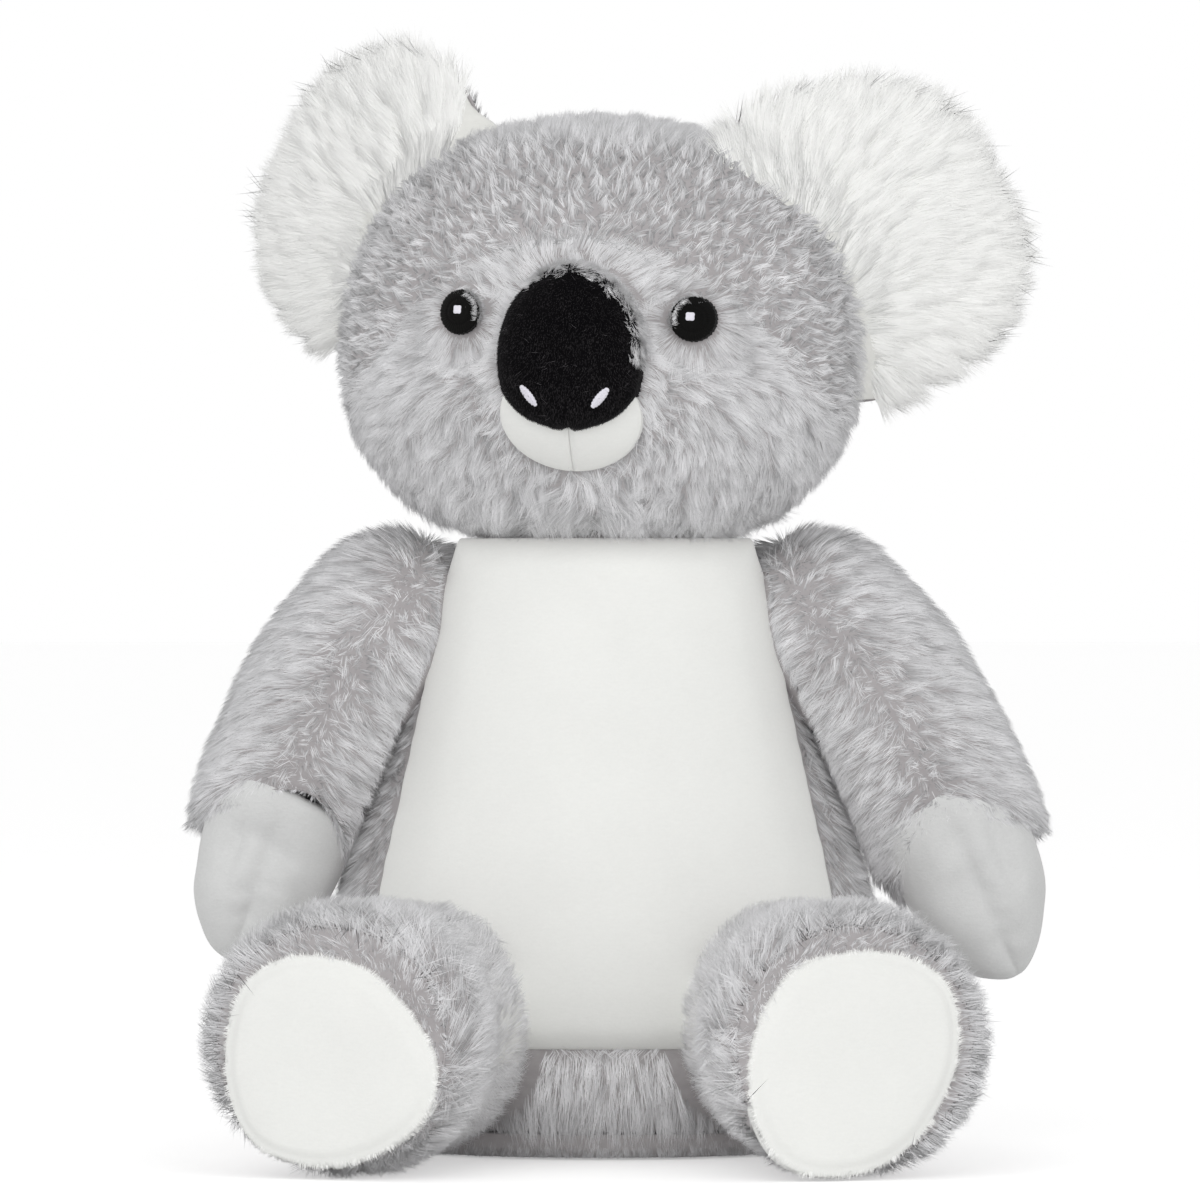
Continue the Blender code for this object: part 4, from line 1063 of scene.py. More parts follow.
class KOALA_OT_head(bpy.types.Operator):
    """Make the head's skin and its fur"""

    bl_idname = "koala.head"
    bl_label = "Head"

    def execute(self, context):
        skin = make_head()
        plant([f"head_fur_{i}" for i in range(1, 6)], skin, "head", "grey_plush", material("grey_fur"),
              FUR_DENSITY["head"], head_style, 1, split=(0.15, 1, 0))
        return {"FINISHED"}


# Body


def panel_half_width(z):
    """Half the belly panel's width at a height, from a smooth curve through its shares."""
    table = spline([(0.0, *row) for row in PANEL_SHARES], 6)[:, 1:]
    return np.interp(z, table[:, 0] * BODY_HEIGHT, table[:, 1] * BODY_WIDTH / 2, left=0, right=0)


def make_body():
    vertices, faces = stack(rings(spline(body_rows(), 3), 72))
    world = sunk(vertices, faces, PILE_DEPTH)
    x, y, z = world.T
    side_seams = hump(y, 0, 3 * MM) + hump(x, 0, 3 * MM) * (y > 0)
    held = side_seams + (z < 12 * MM) + (z > 180 * MM) + (y < 0) * (np.abs(x) < panel_half_width(z) + 4 * MM)
    world = stuffed(world, faces, held, 1.5 * MM)
    world[:, 2] = np.maximum(world[:, 2], BASE_THICKNESS + 0.6 * MM)
    skin = rounded(new_piece("body_skin", world, faces, material("grey_backing")))
    dress(skin, "body", "grey_plush", "body_cover")
    vertices[:, 2] = np.maximum(vertices[:, 2], BASE_THICKNESS)
    lined("body_stuffing", vertices, faces, "body", "body_pod")
    return skin


def slab(outer, inner):
    """Vertices and faces of a closed slab: two grids of places, and walls between their rims."""
    rows, columns = outer.shape[:2]
    count = rows * columns
    quads = grid_quads(rows, columns, False)
    index = np.arange(count).reshape(rows, columns)
    rim = np.concatenate([index[0], index[1:, -1], index[-1, -2::-1], index[-2:0:-1, 0]])
    after = np.roll(rim, -1)
    wall = np.stack([rim, rim + count, after + count, after], -1)
    faces = quads.tolist() + (quads[:, ::-1] + count).tolist() + wall.tolist()
    return np.vstack([outer.reshape(-1, 3), inner.reshape(-1, 3)]), faces


def make_belly():
    """The panel: rows of places across the body's front, at shares of the panel's half width, with the
    fullness of the stuffing under them, drawn in and puckered at the seam round them, and a hem behind."""
    low, high = PANEL_SHARES[0][0] * BODY_HEIGHT, PANEL_SHARES[-1][0] * BODY_HEIGHT
    z = np.linspace(low, high, 64)[:, None]
    share = np.sin(np.linspace(-math.pi / 2, math.pi / 2, 50))[None]
    x = share * panel_half_width(z[:, 0])[:, None]
    z = z + 0 * x
    front = np.stack([x, body_front(x, z), z], axis=-1)
    inward = unit(np.stack([-x / (BODY_WIDTH / 2) ** 2, -front[..., 1] / (BODY_DEPTH / 2) ** 2, 0 * x],
                           axis=-1))
    edge = np.minimum(np.minimum(z - low, high - z) / (18 * MM),
                      (panel_half_width(z[:, 0])[:, None] - np.abs(x)) / (12 * MM))
    full = np.sqrt(np.clip(edge, 0, 1))
    along = np.arctan2(z - (low + high) / 2, x)
    pucker = np.sin(along * 46 + 3 * np.sin(along * 7)) * hump(edge, 0.12, 0.22)
    sink = 2.6 * MM * (1 - full) + 0.30 * MM * pucker + 0.8 * MM
    outer = front + inward * sink[..., None]
    inner = front + inward * (PILE_DEPTH + 0.5 * MM)
    vertices, faces = slab(outer, inner)
    held = np.concatenate([hump(edge, 0, 0.12).reshape(-1), np.ones(inner[..., 0].size)])
    vertices = stuffed(vertices, faces, held, 2.0 * MM, 0.01)
    piece = rounded(new_piece("belly_velour", vertices, faces, material("white_velour")))
    return dress(piece, "body", "white_velour", "belly_panel")


def body_style(strands):
    """The nap falls, slanting outwards in front, and straight down in a fringe under the belly panel."""
    x, y, z = strands.roots.T
    front = ramp(-y, -5 * MM, 20 * MM)
    bottom, top = PANEL_SHARES[0][0] * BODY_HEIGHT, PANEL_SHARES[-1][0] * BODY_HEIGHT
    under = ramp(-z, -bottom - 2 * MM, -bottom + 1 * MM) * front
    slant = np.stack([np.sign(x) * (0.1 + 0.8 * front), 0.4 * front, -np.ones(len(x))], axis=1)
    way = slant * (1 - under)[:, None] + np.array((0.0, 0.0, -1.0)) * under[:, None]
    way = way + (0.30 - 0.18 * under)[:, None] * wander(strands.roots, 14 * MM, 7)
    fringe = under * ramp(z, bottom - 7 * MM, bottom - 1 * MM)
    beside = ramp(panel_half_width(z) + 6 * MM - np.abs(x), 0, 4 * MM) * front
    beside = beside * (z > bottom) * (z < top + 4 * MM)
    over = np.stack([-0.8 * np.sign(x), 0 * x, -0.6 + 0 * x], axis=1)
    way = way * (1 - beside)[:, None] + over * beside[:, None]
    neck = ramp(z, 172 * MM, 184 * MM) * (1 - beside)
    up = np.stack([np.sign(x), -0.3 + 0 * x, 0.5 + 0 * x], axis=1)
    way = way * (1 - neck)[:, None] + up * neck[:, None]
    comb(strands, way, 0.25 * (1 - under), (8.4 + 1.0 * fringe - 2.0 * beside + 3.0 * neck) * MM)
    strands.rise = strands.rise + 0.16 * fringe
    strands.share = strands.share * (1 - 0.4 * ramp(y, -5 * MM, 25 * MM))
    hem = ramp(-z, -26 * MM, -BASE_THICKNESS - 3 * MM)
    strands.length = strands.length + 6.0 * MM * hem
    strands.rise = strands.rise - 0.10 * hem
    strands.way = strands.way * (1 - hem)[:, None] + np.array((0.0, 0.0, -1.0)) * hem[:, None]
    # Painted light and shade: the fringe and the strip under the belly panel are painted lighter, as lit
    # pile, and the hem darker towards the floor, as shade
    strands.shade = strands.shade + 0.20 * fringe + 0.22 * under - 0.30 * hem
    strands.patch = strands.patch + 0.06 * under
    behind_panel = (y < 0) & (np.abs(x) < panel_half_width(z) - 2.5 * MM) & (z > bottom + 2 * MM) & (z < top)
    hidden = behind_panel | (z > BODY_HEIGHT - 8 * MM) | (z < BASE_THICKNESS + 1.5 * MM)
    for side in SIDES:
        hidden |= np.linalg.norm(strands.roots - PLACES[f"arm_{side}"], axis=1) < ARM_RADIUS - 2 * MM
        hidden |= np.linalg.norm(strands.roots - PLACES[f"leg_{side}"], axis=1) < HIP_RADIUS - 2 * MM
    strands.keep = ~hidden


class KOALA_OT_body(bpy.types.Operator):
    """Make the body's skin, its belly panel and its fur"""

    bl_idname = "koala.body"
    bl_label = "Body"

    def execute(self, context):
        skin = make_body()
        make_belly()
        plant([f"body_fur_{i}" for i in (1, 2)], skin, "body", "grey_plush", material("grey_fur"),
              FUR_DENSITY["body"], body_style, 2, above_floor)
        return {"FINISHED"}


# Arms


def bent_paw(points, start, curl, shrink):
    """A paw bent towards the front past a level: its middle line is an arc of that curl, and the rings
    across it turn with it. Past the level its length shrinks by a share."""
    x, y, z = points.T
    along = np.maximum(z - start, 0) * shrink
    angle = along * curl
    front = y * np.cos(angle) - (1 - np.cos(angle)) / curl
    level = np.minimum(z, start) + np.sin(angle) / curl + y * np.sin(angle)
    return np.stack([x, front, level], axis=1)


def cuff_level(side, aside, y):
    """Where the sleeve ends, by the squared shares of the four directions round it."""
    far = np.maximum(aside ** 2 + y ** 2, 1e-12)
    shares = (np.minimum(y, 0) ** 2, np.minimum(SIDES[side] * aside, 0) ** 2,
              np.maximum(SIDES[side] * aside, 0) ** 2, np.maximum(y, 0) ** 2)
    return sum(level * share for level, share in zip(CUFF[side], shares)) / far


def make_arm(side):
    place = arm_frame(side)
    body = f"arm_{side}"
    vertices, faces = stack(rings(spline(sleeve_rows(side), 3), 56))
    local = sunk(vertices, faces, PILE_DEPTH)
    x, y, z = local.T
    seam = hump(x - arm_bows(side, z), 0, 2 * MM) * ramp(-y, 0, 8 * MM)
    held = seam + ramp(z, SLEEVE_LENGTH - 8 * MM, SLEEVE_LENGTH - 3 * MM) + ramp(-z, 5 * MM, 20 * MM)
    local = stuffed(local, faces, held, 1.5 * MM)
    longer = cuff_level(side, local[:, 0], local[:, 1]) - SLEEVE_LENGTH
    local[:, 2] += longer * ramp(local[:, 2], 0.35 * SLEEVE_LENGTH, SLEEVE_LENGTH)
    world = moved(local, place)
    flat = clear_of_body(world, 1 * MM)
    near = np.linalg.norm(world - PLACES[body], axis=1, keepdims=True) < ARM_RADIUS
    world = np.where(near, world, flat)
    skin = rounded(new_piece(f"arm_{side}_skin", world, faces, material("grey_backing")))
    dress(skin, body, "grey_plush", f"arm_{side}_cover")
    rows = sleeve_rows(side)
    rows = rows[:-3][rows[:-3, 0] < 0.62 * SLEEVE_LENGTH]
    cap = rows[-1] * (1, 0.9, 0.9, 1) + (5 * MM, 0, 0, 0)
    rows = np.vstack([rows, cap, cap * (1, 0, 0, 1) + (1 * MM, 0, 0, 0)])
    inner, faces = stack(rings(spline(rows, 2), 40))
    lined(f"arm_{side}_stuffing", moved(inner, place), faces, body, f"arm_{side}_fill")

    vertices, faces = stack(rings(spline(paw_rows(side), 4), 64))
    x, y, z = vertices.T
    bow = arm_bows(side, z)
    normals = normals_of(vertices, triangles_of(faces))
    front = ramp(-y, 0, 12 * MM)
    seam = hump(x - bow, 0, 1.3 * MM) * front * ramp(z, 66 * MM, 76 * MM)
    folds = wander(vertices, 7 * MM, 21 + SIDES[side])[:, 0]
    lumps = wander(vertices, 16 * MM, 25 + SIDES[side])[:, 1]
    pucker = np.sin(z / (1.15 * MM)) * hump(np.abs(x - bow), 2.6 * MM, 2.2 * MM) * front
    crease = hump(x - bow, -SIDES[side] * 10 * MM, 1.6 * MM)
    crease = crease * ramp(z, 72 * MM, 84 * MM) * ramp(-z, -112 * MM, -96 * MM)
    lift = 1.3 * MM * lumps + 0.6 * MM * folds - 1.7 * MM * seam
    lift = lift + 0.22 * MM * pucker - 2.4 * MM * crease * front
    vertices = vertices + normals * lift[:, None]
    held = seam + 0.8 * crease * front + ramp(-z, -SLEEVE_LENGTH, 2 * MM - SLEEVE_LENGTH)
    vertices = stuffed(vertices, faces, held, 1.5 * MM, 0.03)
    vertices[:, 1] -= 3 * MM
    world = moved(bent_paw(vertices, *PAW_BEND[side]), place)
    paw = rounded(new_piece(f"paw_{side}_velour", world, faces, material("grey_velour")))
    dress(paw, body, "grey_velour", f"paw_{side}")
    return skin


def arm_style(side):
    place = arm_frame(side)
    back = place.inverted()

    def style(strands):
        q = moved(strands.roots, back)
        x, y, z = q.T
        aside = x - arm_bows(side, z)
        inner = SIDES[side] * aside > 0
        front = ramp(-y, -8 * MM, 8 * MM)
        along = np.where(inner, 0.30, 0.85) + (1 - front) * 0.5
        way = np.stack([np.sign(aside) * front, 0 * x, along], axis=1)
        way = way + 0.28 * wander(q, 13 * MM, 9 + SIDES[side])
        parting = (0.45 * hump(aside, 0, 15 * MM) + 0.40 * hump(aside, 0, 6 * MM)) * ramp(-y, 0, 10 * MM)
        parting = parting * (1 + 0.35 * wander(q, 11 * MM, 34)[:, 1])
        cuff_at = cuff_level(side, aside, y)
        cuff = ramp(z, cuff_at - 9 * MM, cuff_at)
        inwards = np.stack([-0.25 * np.sign(aside), 0 * x, 1 + 0 * x], axis=1)
        way = way * (1 - cuff)[:, None] + inwards * cuff[:, None]
        way = turned(way, place)
        top = ramp(strands.roots[:, 2], 172 * MM, 186 * MM)
        top = top * ramp(62 * MM - np.abs(strands.roots[:, 0]), 0, 14 * MM)
        way = way * (1 - top)[:, None] + np.array((-0.9 * SIDES[side], -0.3, 0.45)) * top[:, None]
        # The rough pile at the parting and at the cuff's front takes painted shade between its tufts, as
        # shade falls there
        comb(strands, way, parting + 0.30 * cuff * ramp(-y, 0, 10 * MM), (8.2 + 3.0 * top) * MM)
        strands.length = strands.length - 2.0 * MM * cuff
        radial = turned(unit(np.stack([aside, y, 0 * x], axis=1)), place)
        strands.normals = unit(strands.normals * (1 - cuff)[:, None] + radial * cuff[:, None])
        strands.share = strands.share * (1 - 0.5 * ramp(y, 0, 12 * MM))
        inside_cuff = (z > cuff_at - 6 * MM) & (np.hypot(aside, y) < ARM_RADIUS * 0.60)
        strands.rise = strands.rise - 0.14 * cuff
        strands.gather = strands.gather * (1 - 0.7 * cuff)
        strands.keep = ~inside_cuff

    return style


class KOALA_OT_arms(bpy.types.Operator):
    """Make the sleeves, their fur and the paws"""

    bl_idname = "koala.arms"
    bl_label = "Arms"

    def execute(self, context):
        for side in SIDES:
            skin = make_arm(side)
            plant([f"arm_{side}_fur_{i}" for i in (1, 2)], skin, f"arm_{side}", "grey_plush",
                  material("grey_fur"), FUR_DENSITY["arm"],
                  arm_style(side), 3 + SIDES[side], lambda points: clear_of_body(points, 0.3 * MM))
        return {"FINISHED"}


# Legs


def sole_reach(side, angle):
    """How far the sole reaches from its middle, by the angle round it, from a table read as a closed smooth
    curve."""
    table = np.array(SOLE_OUTLINES[side])
    rows = np.vstack([table[-2:] - (360, 0), table, table[:3] + (360, 0)])
    curve = spline(np.hstack([rows, rows[:, 1:]]), 8)
    return np.interp(np.degrees(angle) % 360, curve[:, 0], curve[:, 1]) * MM


def slimmed(points, side):
    """A leg's places with its inner side drawn outwards near the hip, and its rim drawn down round the
    sole."""
    x, y, z = points.T
    inner = np.clip(-SIDES[side] * x / (LEG_WIDTH / 2), 0, 1)
    x = x + SIDES[side] * LEG_SLIM * inner * ramp(-z, -LEG_LENGTH, -20 * MM)
    rim = ramp(z, LEG_LENGTH - 22 * MM, LEG_LENGTH)
    y = y * (1 + 0.05 * rim) - 1.6 * MM * rim
    return np.stack([x, y, z], axis=1)


def sole_style(side):
    """Very short white pile that makes the sole's edge soft."""
    back = leg_frame(side).inverted()

    def style(strands):
        q = moved(strands.roots, back)
        x, y, z = q.T
        y = y + SOLE_DROP
        far = np.hypot(x, y) / sole_reach(side, np.arctan2(y, x))
        out = unit(np.stack([x, y, 0 * x], axis=1))
        comb(strands, turned(out + 0.4 * wander(q, 5 * MM, 33), leg_frame(side)), 0.0, 2.2 * MM)
        strands.keep = (far > 0.94) & (z > LEG_LENGTH - SOLE_SINK - 0.5 * SOLE_TUCK)

    return style


def make_leg(side):
    place = leg_frame(side)
    body = f"leg_{side}"
    vertices, faces = stack(rings(spline(leg_rows(), 3), 64))
    local = sunk(vertices, faces, PILE_DEPTH)
    x, y, z = local.T
    held = hump(x, 0, 2.5 * MM) * (y > 0) + ramp(z, LEG_LENGTH - 9 * MM, LEG_LENGTH - 5 * MM)
    held = held + ramp(-z, 10 * MM, 25 * MM)
    local = stuffed(local, faces, held, 1.5 * MM)
    world = above_floor(moved(slimmed(local, side), place))
    skin = rounded(new_piece(f"leg_{side}_skin", world, faces, material("grey_backing")))
    dress(skin, body, "grey_plush", f"leg_{side}_cover")
    inner, faces = stack(rings(spline(leg_rows(), 2), 40))
    lined(f"leg_{side}_stuffing", moved(inner - (0, 0, 4 * MM), place), faces, body, f"leg_{side}_fill")

    rows = [(-SOLE_TUCK, 0.0, 0.0), (-SOLE_TUCK, 0.93, 0.93), (-0.4 * SOLE_TUCK, 1.0, 1.0)]
    for share in np.linspace(0.0, 1.0, 9):
        size = math.cos(share * math.pi / 2) ** 0.62 if share < 1 else 0.0
        rows.append((SOLE_RISE * math.sin(share * math.pi / 2) ** 0.7, size, size))
    points = rings(spline(rows, 3), 96)
    points[..., :2] *= sole_reach(side, np.linspace(0, math.tau, 96, endpoint=False))[None, :, None]
    vertices, faces = stack(points)
    normals = normals_of(vertices, triangles_of(faces))
    lift = 0.45 * MM * wander(vertices, 15 * MM, 31)[:, 0]
    held = np.hypot(*vertices[:, :2].T) / sole_reach(side, np.arctan2(vertices[:, 1], vertices[:, 0])) > 0.93
    vertices = stuffed(vertices + normals * lift[:, None], faces, held | (vertices[:, 2] < 0), 0.8 * MM, 0.01)
    vertices = vertices + np.array((0, -SOLE_DROP, LEG_LENGTH - SOLE_SINK))
    world = above_floor(moved(vertices, place))
    sole = new_piece(f"sole_{side}_velour", world, faces, material("white_velour"))
    dress(sole, body, "white_velour", f"sole_{side}")
    plant([f"sole_{side}_pile"], sole, body, "white_velour", material("white_fur"), FUR_DENSITY["sole"],
          sole_style(side), 50)
    return skin


def leg_style(side):
    place = leg_frame(side)
    back = place.inverted()

    def style(strands):
        q = moved(strands.roots, back)
        x, y, z = q.T
        y = y + SOLE_DROP
        angle = np.arctan2(y, x)
        sole = np.where(z > LEG_LENGTH - 14 * MM, np.hypot(x, y) / sole_reach(side, angle), 9.0)
        radial = unit(np.stack([x, y, 0 * x], axis=1))
        rim = ramp(z, LEG_LENGTH - 26 * MM, LEG_LENGTH - 6 * MM)
        above = ramp(np.cos(angle - math.radians(60 if side == "left" else 110)), 0.2, 0.8)
        way = radial * 0.85 + np.array((0.0, 0.0, -0.55)) + 0.3 * wander(q, 13 * MM, 12 + SIDES[side])
        way[:, 2] += 1.0 * rim
        edge = hump(sole, 1.05, 0.16)
        # The rough pile on the sole's upper edge takes painted shade between its tufts, as shade falls there
        comb(strands, turned(way, place), 0.10 + 0.60 * edge * above, (8.4 + 0.8 * rim) * MM)
        strands.rise = strands.rise + 0.08 * rim
        inner = ramp(-SIDES[side] * x, 5 * MM, 30 * MM)
        strands.shade = strands.shade + 0.08 + 0.14 * inner
        strands.share = strands.share * (1 - 0.5 * ramp(strands.roots[:, 1], -60 * MM, -35 * MM))
        strands.keep = sole > 1.0

    return style


class KOALA_OT_legs(bpy.types.Operator):
    """Make the legs' skins, their fur and the soles"""

    bl_idname = "koala.legs"
    bl_label = "Legs"

    def execute(self, context):
        for side in SIDES:
            skin = make_leg(side)
            plant([f"leg_{side}_fur_{i}" for i in (1, 2)], skin, f"leg_{side}", "grey_plush",
                  material("grey_fur"), FUR_DENSITY["leg"], leg_style(side), 7 + SIDES[side], above_floor)
        return {"FINISHED"}


# Ears


def ear_stretch(x, y, side):
    """How much further than an ellipse an ear reaches at a place: squarish, longer below, with a full upper
    corner."""
    angle = np.arctan2(y, SIDES[side] * x)
    square = 1 + 0.07 * np.abs(np.sin(2 * angle)) + 0.06 * ramp(-np.sin(angle), 0, 0.5)
    inner = (0.12 if side == "right" else 0.04) * ramp(-np.cos(angle), 0.0, 0.8)
    return square + inner + 0.19 * hump(np.degrees(angle), EAR_CORNER[side], 32)


def ear_share(points, side):
    """Distance of places from the middle of an ear, as a share of its outline, for those in front of its
    plane."""
    x, y, z = moved(points, ear_frame(side).inverted()).T
    far = np.hypot(x / (EAR_WIDTH / 2 - 8 * MM), y / (EAR_LENGTH / 2 - 8 * MM)) / ear_stretch(x, y, side)
    return np.where(z > -2 * MM, far, 9.0)


def past_limit(points, side):
    """How far places are outside the line that ends an ear's white pile on the face. Seen from the side,
    that line runs from the ear's lower end up and to the front."""
    table = np.array(EAR_LIMITS[side]) * MM
    across = SIDES[side] * points[:, 0] - np.interp(points[:, 2], table[:, 0], table[:, 1])
    z = moved(points, HEAD_BACK)[:, 2]
    reach = np.interp(z, (30 * MM, 55 * MM, 80 * MM, 100 * MM), (6 * MM, 15 * MM, 27 * MM, 40 * MM))
    return np.minimum(across, points[:, 1] + reach)


def laid_on_head(points, gap):
    """Points inside the head's outline, moved to the front to a gap before it."""
    x, y, z = moved(points, HEAD_BACK).T
    wide = curve_at(HEAD_CURVE, z, 1)
    front = np.where(np.abs(x + HEAD_ASIDE) < wide, face_front(x, z), 9.0) - gap
    return moved(np.stack([x, np.minimum(y, front), z], axis=1), HEAD)


def under_head(points, side):
    """An ear's places past the line that ends its white pile, drawn in under the head's own skin."""
    x, y, z = moved(points, HEAD_BACK).T
    wide, deep = (np.maximum(curve_at(HEAD_CURVE, z, column), 10 * MM) for column in (1, 2))
    share = np.hypot((x + HEAD_ASIDE) / wide, (y + HEAD_FORWARD) / deep)
    pull = np.clip(share - 1 + (PILE_DEPTH + 3 * MM) / wide, 0, 12 * MM / wide)
    pull = pull * ramp(-past_limit(points, side), -1 * MM, 3 * MM) * ramp(-share, -1.3, -1.1)
    size = 1 - pull / np.maximum(share, 1e-6)
    place = np.stack([(x + HEAD_ASIDE) * size - HEAD_ASIDE, (y + HEAD_FORWARD) * size - HEAD_FORWARD, z],
                     axis=1)
    return moved(place, HEAD)


def make_ear_pad(side, part, rise):
    """Half an ear: rings that shrink to the pad's middle as they rise, by cosine and sine, on a flat
    back."""
    sign = 1 if part == "front" else -1
    wide, high = EAR_WIDTH / 2 - 8 * MM, EAR_LENGTH / 2 - 8 * MM
    depth = rise - PILE_DEPTH
    rows = [(0.0, 0.0, 0.0), (0.0, wide * 0.5, high * 0.5), (0.0, wide * 0.94, high * 0.94)]
    for angle in np.linspace(0, math.pi / 2, 9):
        size = math.cos(angle) ** 0.6 if angle < 1.57 else 0.0
        rows.append((0.6 * MM + depth * math.sin(angle), wide * size, high * size))
    vertices, faces = stack(rings(spline(rows, 2), 56))
    if sign < 0:
        vertices = vertices * np.array((-1, 1, -1))
    vertices[:, 2] += sign * 0.15 * MM
    vertices[:, :2] *= ear_stretch(vertices[:, 0], vertices[:, 1], side)[:, None]
    white = part == "front"
    name = f"ear_{side}_{part}"
    x, y, _ = vertices.T
    far = np.hypot(x / wide, y / high) / ear_stretch(x, y, side)
    vertices = stuffed(vertices, faces, (far > 0.93) | (np.abs(vertices[:, 2]) < 0.5 * MM), 1.5 * MM, 0.01)
    world = moved(vertices, ear_frame(side))
    if white:
        laid = laid_on_head(world, -2.5 * MM - 5 * MM * ramp(-past_limit(world, side), -3 * MM, 3 * MM))
        world = under_head(np.where(vertices[:, [2]] > 0.5 * MM, laid, world), side)
    backing = material("white_backing" if white else "grey_backing")
    piece = rounded(new_piece(name + "_skin", world, faces, backing))
    return dress(piece, "head", "white_plush" if white else "grey_plush", name)


def ear_style(side, part):
    place = ear_frame(side)
    back = place.inverted()
    sign = SIDES[side]

    def style(strands):
        q = moved(strands.roots, back)
        n = turned(strands.normals, back)
        x, y, _ = q.T
        root = np.array((-sign * (EAR_REACH + 12 * MM), -12 * MM, 0))
        way = unit(q - root)
        way[:, 2] = 0
        way = way + np.array((0, -0.25, 0)) + 0.30 * wander(q, 15 * MM, 15 + sign)
        way = way + 0.2 * wander(q, 6 * MM, 16)
        far = np.hypot(x / (EAR_WIDTH / 2 - 8 * MM), y / (EAR_LENGTH / 2 - 8 * MM)) / ear_stretch(x, y, side)
        edge = ramp(far, 0.75, 1.0)
        front = part == "front"
        if not front:
            way = way * (1 - 1.5 * edge)[:, None]
        comb(strands, turned(way, place), 0.1, ((10.5 + 2.0 * edge) if front else 7.5 - 1.5 * edge) * MM)
        strands.gather = 0.30 + 0.35 * edge
        strands.rise = strands.rise - 0.06 * edge
        local = moved(strands.roots, HEAD_BACK)
        wide, deep = (curve_at(HEAD_CURVE, local[:, 2], column) - 4.5 * MM for column in (1, 2))
        inside = np.hypot((local[:, 0] + HEAD_ASIDE) / wide, (local[:, 1] + HEAD_FORWARD) / deep) < 1
        ragged = 2.5 * MM * wander(strands.roots, 5 * MM, 29)[:, 0]
        inside = past_limit(strands.roots, side) < ragged if front else inside | (edge > 0.9)
        under = (n[:, 2] if front else -n[:, 2]) < -0.5
        strands.keep = ~inside & ~under

    return style


class KOALA_OT_ears(bpy.types.Operator):
    """Make both ears, white in front and grey behind, and their fur"""

    bl_idname = "koala.ears"
    bl_label = "Ears"

    def execute(self, context):
        for side in SIDES:
            for part, rise, finish in (("front", EAR_FRONT, "white"), ("back", EAR_BACK, "grey")):
                skin = make_ear_pad(side, part, rise)
                plant([f"ear_{side}_{part}_fur"], skin, "head", finish + "_plush", material(finish + "_fur"),
                      FUR_DENSITY[f"ear_{part}"], ear_style(side, part),
                      20 + SIDES[side] * (1 + (part == "back")))
        return {"FINISHED"}


# Nose, chin and eyes


def pad_rows(half_width, half_height, rise, tuck):
    """A domed pad's rings: a straight side, a small round shoulder and a dome."""
    rows = [(-tuck, 0.0, 0.0), (-tuck, half_width * 0.96, half_height * 0.96),
            (-0.55 * tuck, half_width, half_height)]
    for share in np.linspace(0, 1, 9):
        angle = share * math.pi / 2
        size = math.cos(angle) ** 0.75 if share < 1 else 0.0
        rows.append((rise * math.sin(angle), half_width * size, half_height * size))
    return spline(rows, 3)


def make_nose():
    """The pad's rings, each stretched to the nose's outline by the share at its angle."""
    points = rings(pad_rows(NOSE_WIDTH / 2, NOSE_HEIGHT / 2, NOSE_RISE, NOSE_TUCK), 96)
    table = np.array(NOSE_SHARES)
    level = np.degrees(np.arctan2(points[..., 1] / NOSE_HEIGHT, np.abs(points[..., 0]) / NOSE_WIDTH))
    points[..., :2] *= np.interp(level, table[:, 0], table[:, 1])[..., None]
    vertices, faces = stack(points)
    x, y, z = vertices.T
    notch = hump(x, 0, 1.0 * MM) * ramp(-y, 10 * MM, 24 * MM)
    vertices[:, 2] -= 1.3 * MM * notch
    vertices[:, 1] += 1.2 * MM * notch * ramp(-y, 21 * MM, 25 * MM)
    vertices = stuffed(vertices, faces, (z < 1 * MM) + notch, 0.3 * MM)
    world = moved(vertices, HEAD @ facing(NOSE_PLACE))
    piece = rounded(new_piece("nose_velour", world, faces, material("black_velour")))
    return dress(piece, "head", "black_velour", "nose")


def nose_style(strands):
    """Very short black pile that lies downwards, with a few long pale strays."""
    q = moved(strands.roots, HEAD_BACK)
    random = scrambled(np.round(strands.roots / (0.05 * MM)), 6)
    comb(strands, turned(np.array((0.0, 0.0, -1.0)) + 0.5 * wander(q, 6 * MM, 19), HEAD), 0.0, 1.2 * MM)
    strands.rise = strands.rise + 0.15
    strands.gather, strands.lean, strands.patch = (np.full(len(q), share) for share in (0.0, 0.10, 0.001))
    strands.gap, strands.speckle = np.zeros(len(q)), np.full(len(q), 0.02)
    stray = random[:, 0] < 0.006
    strands.length = np.where(stray, 3.5 * MM, strands.length)
    strands.rise = np.where(stray, 0.25, strands.rise)
    strands.way = np.where(stray[:, None], 2 * random - 1, strands.way)
    strands.width = np.where(stray, 0.05 * MM, 0.13 * MM)
    strands.shade = np.where(stray, 3.0, strands.shade)
    strands.keep = strands.normals[:, 1] < 0.3


def nose_rise(x, y):
    """How far the nose's dome stands out at a place on it."""
    size = np.clip(np.hypot(x / (NOSE_WIDTH / 2), y / (NOSE_HEIGHT / 2)), 0, 1)
    angle = np.arccos(size ** (1 / 0.75))
    return NOSE_RISE * np.sin(angle)


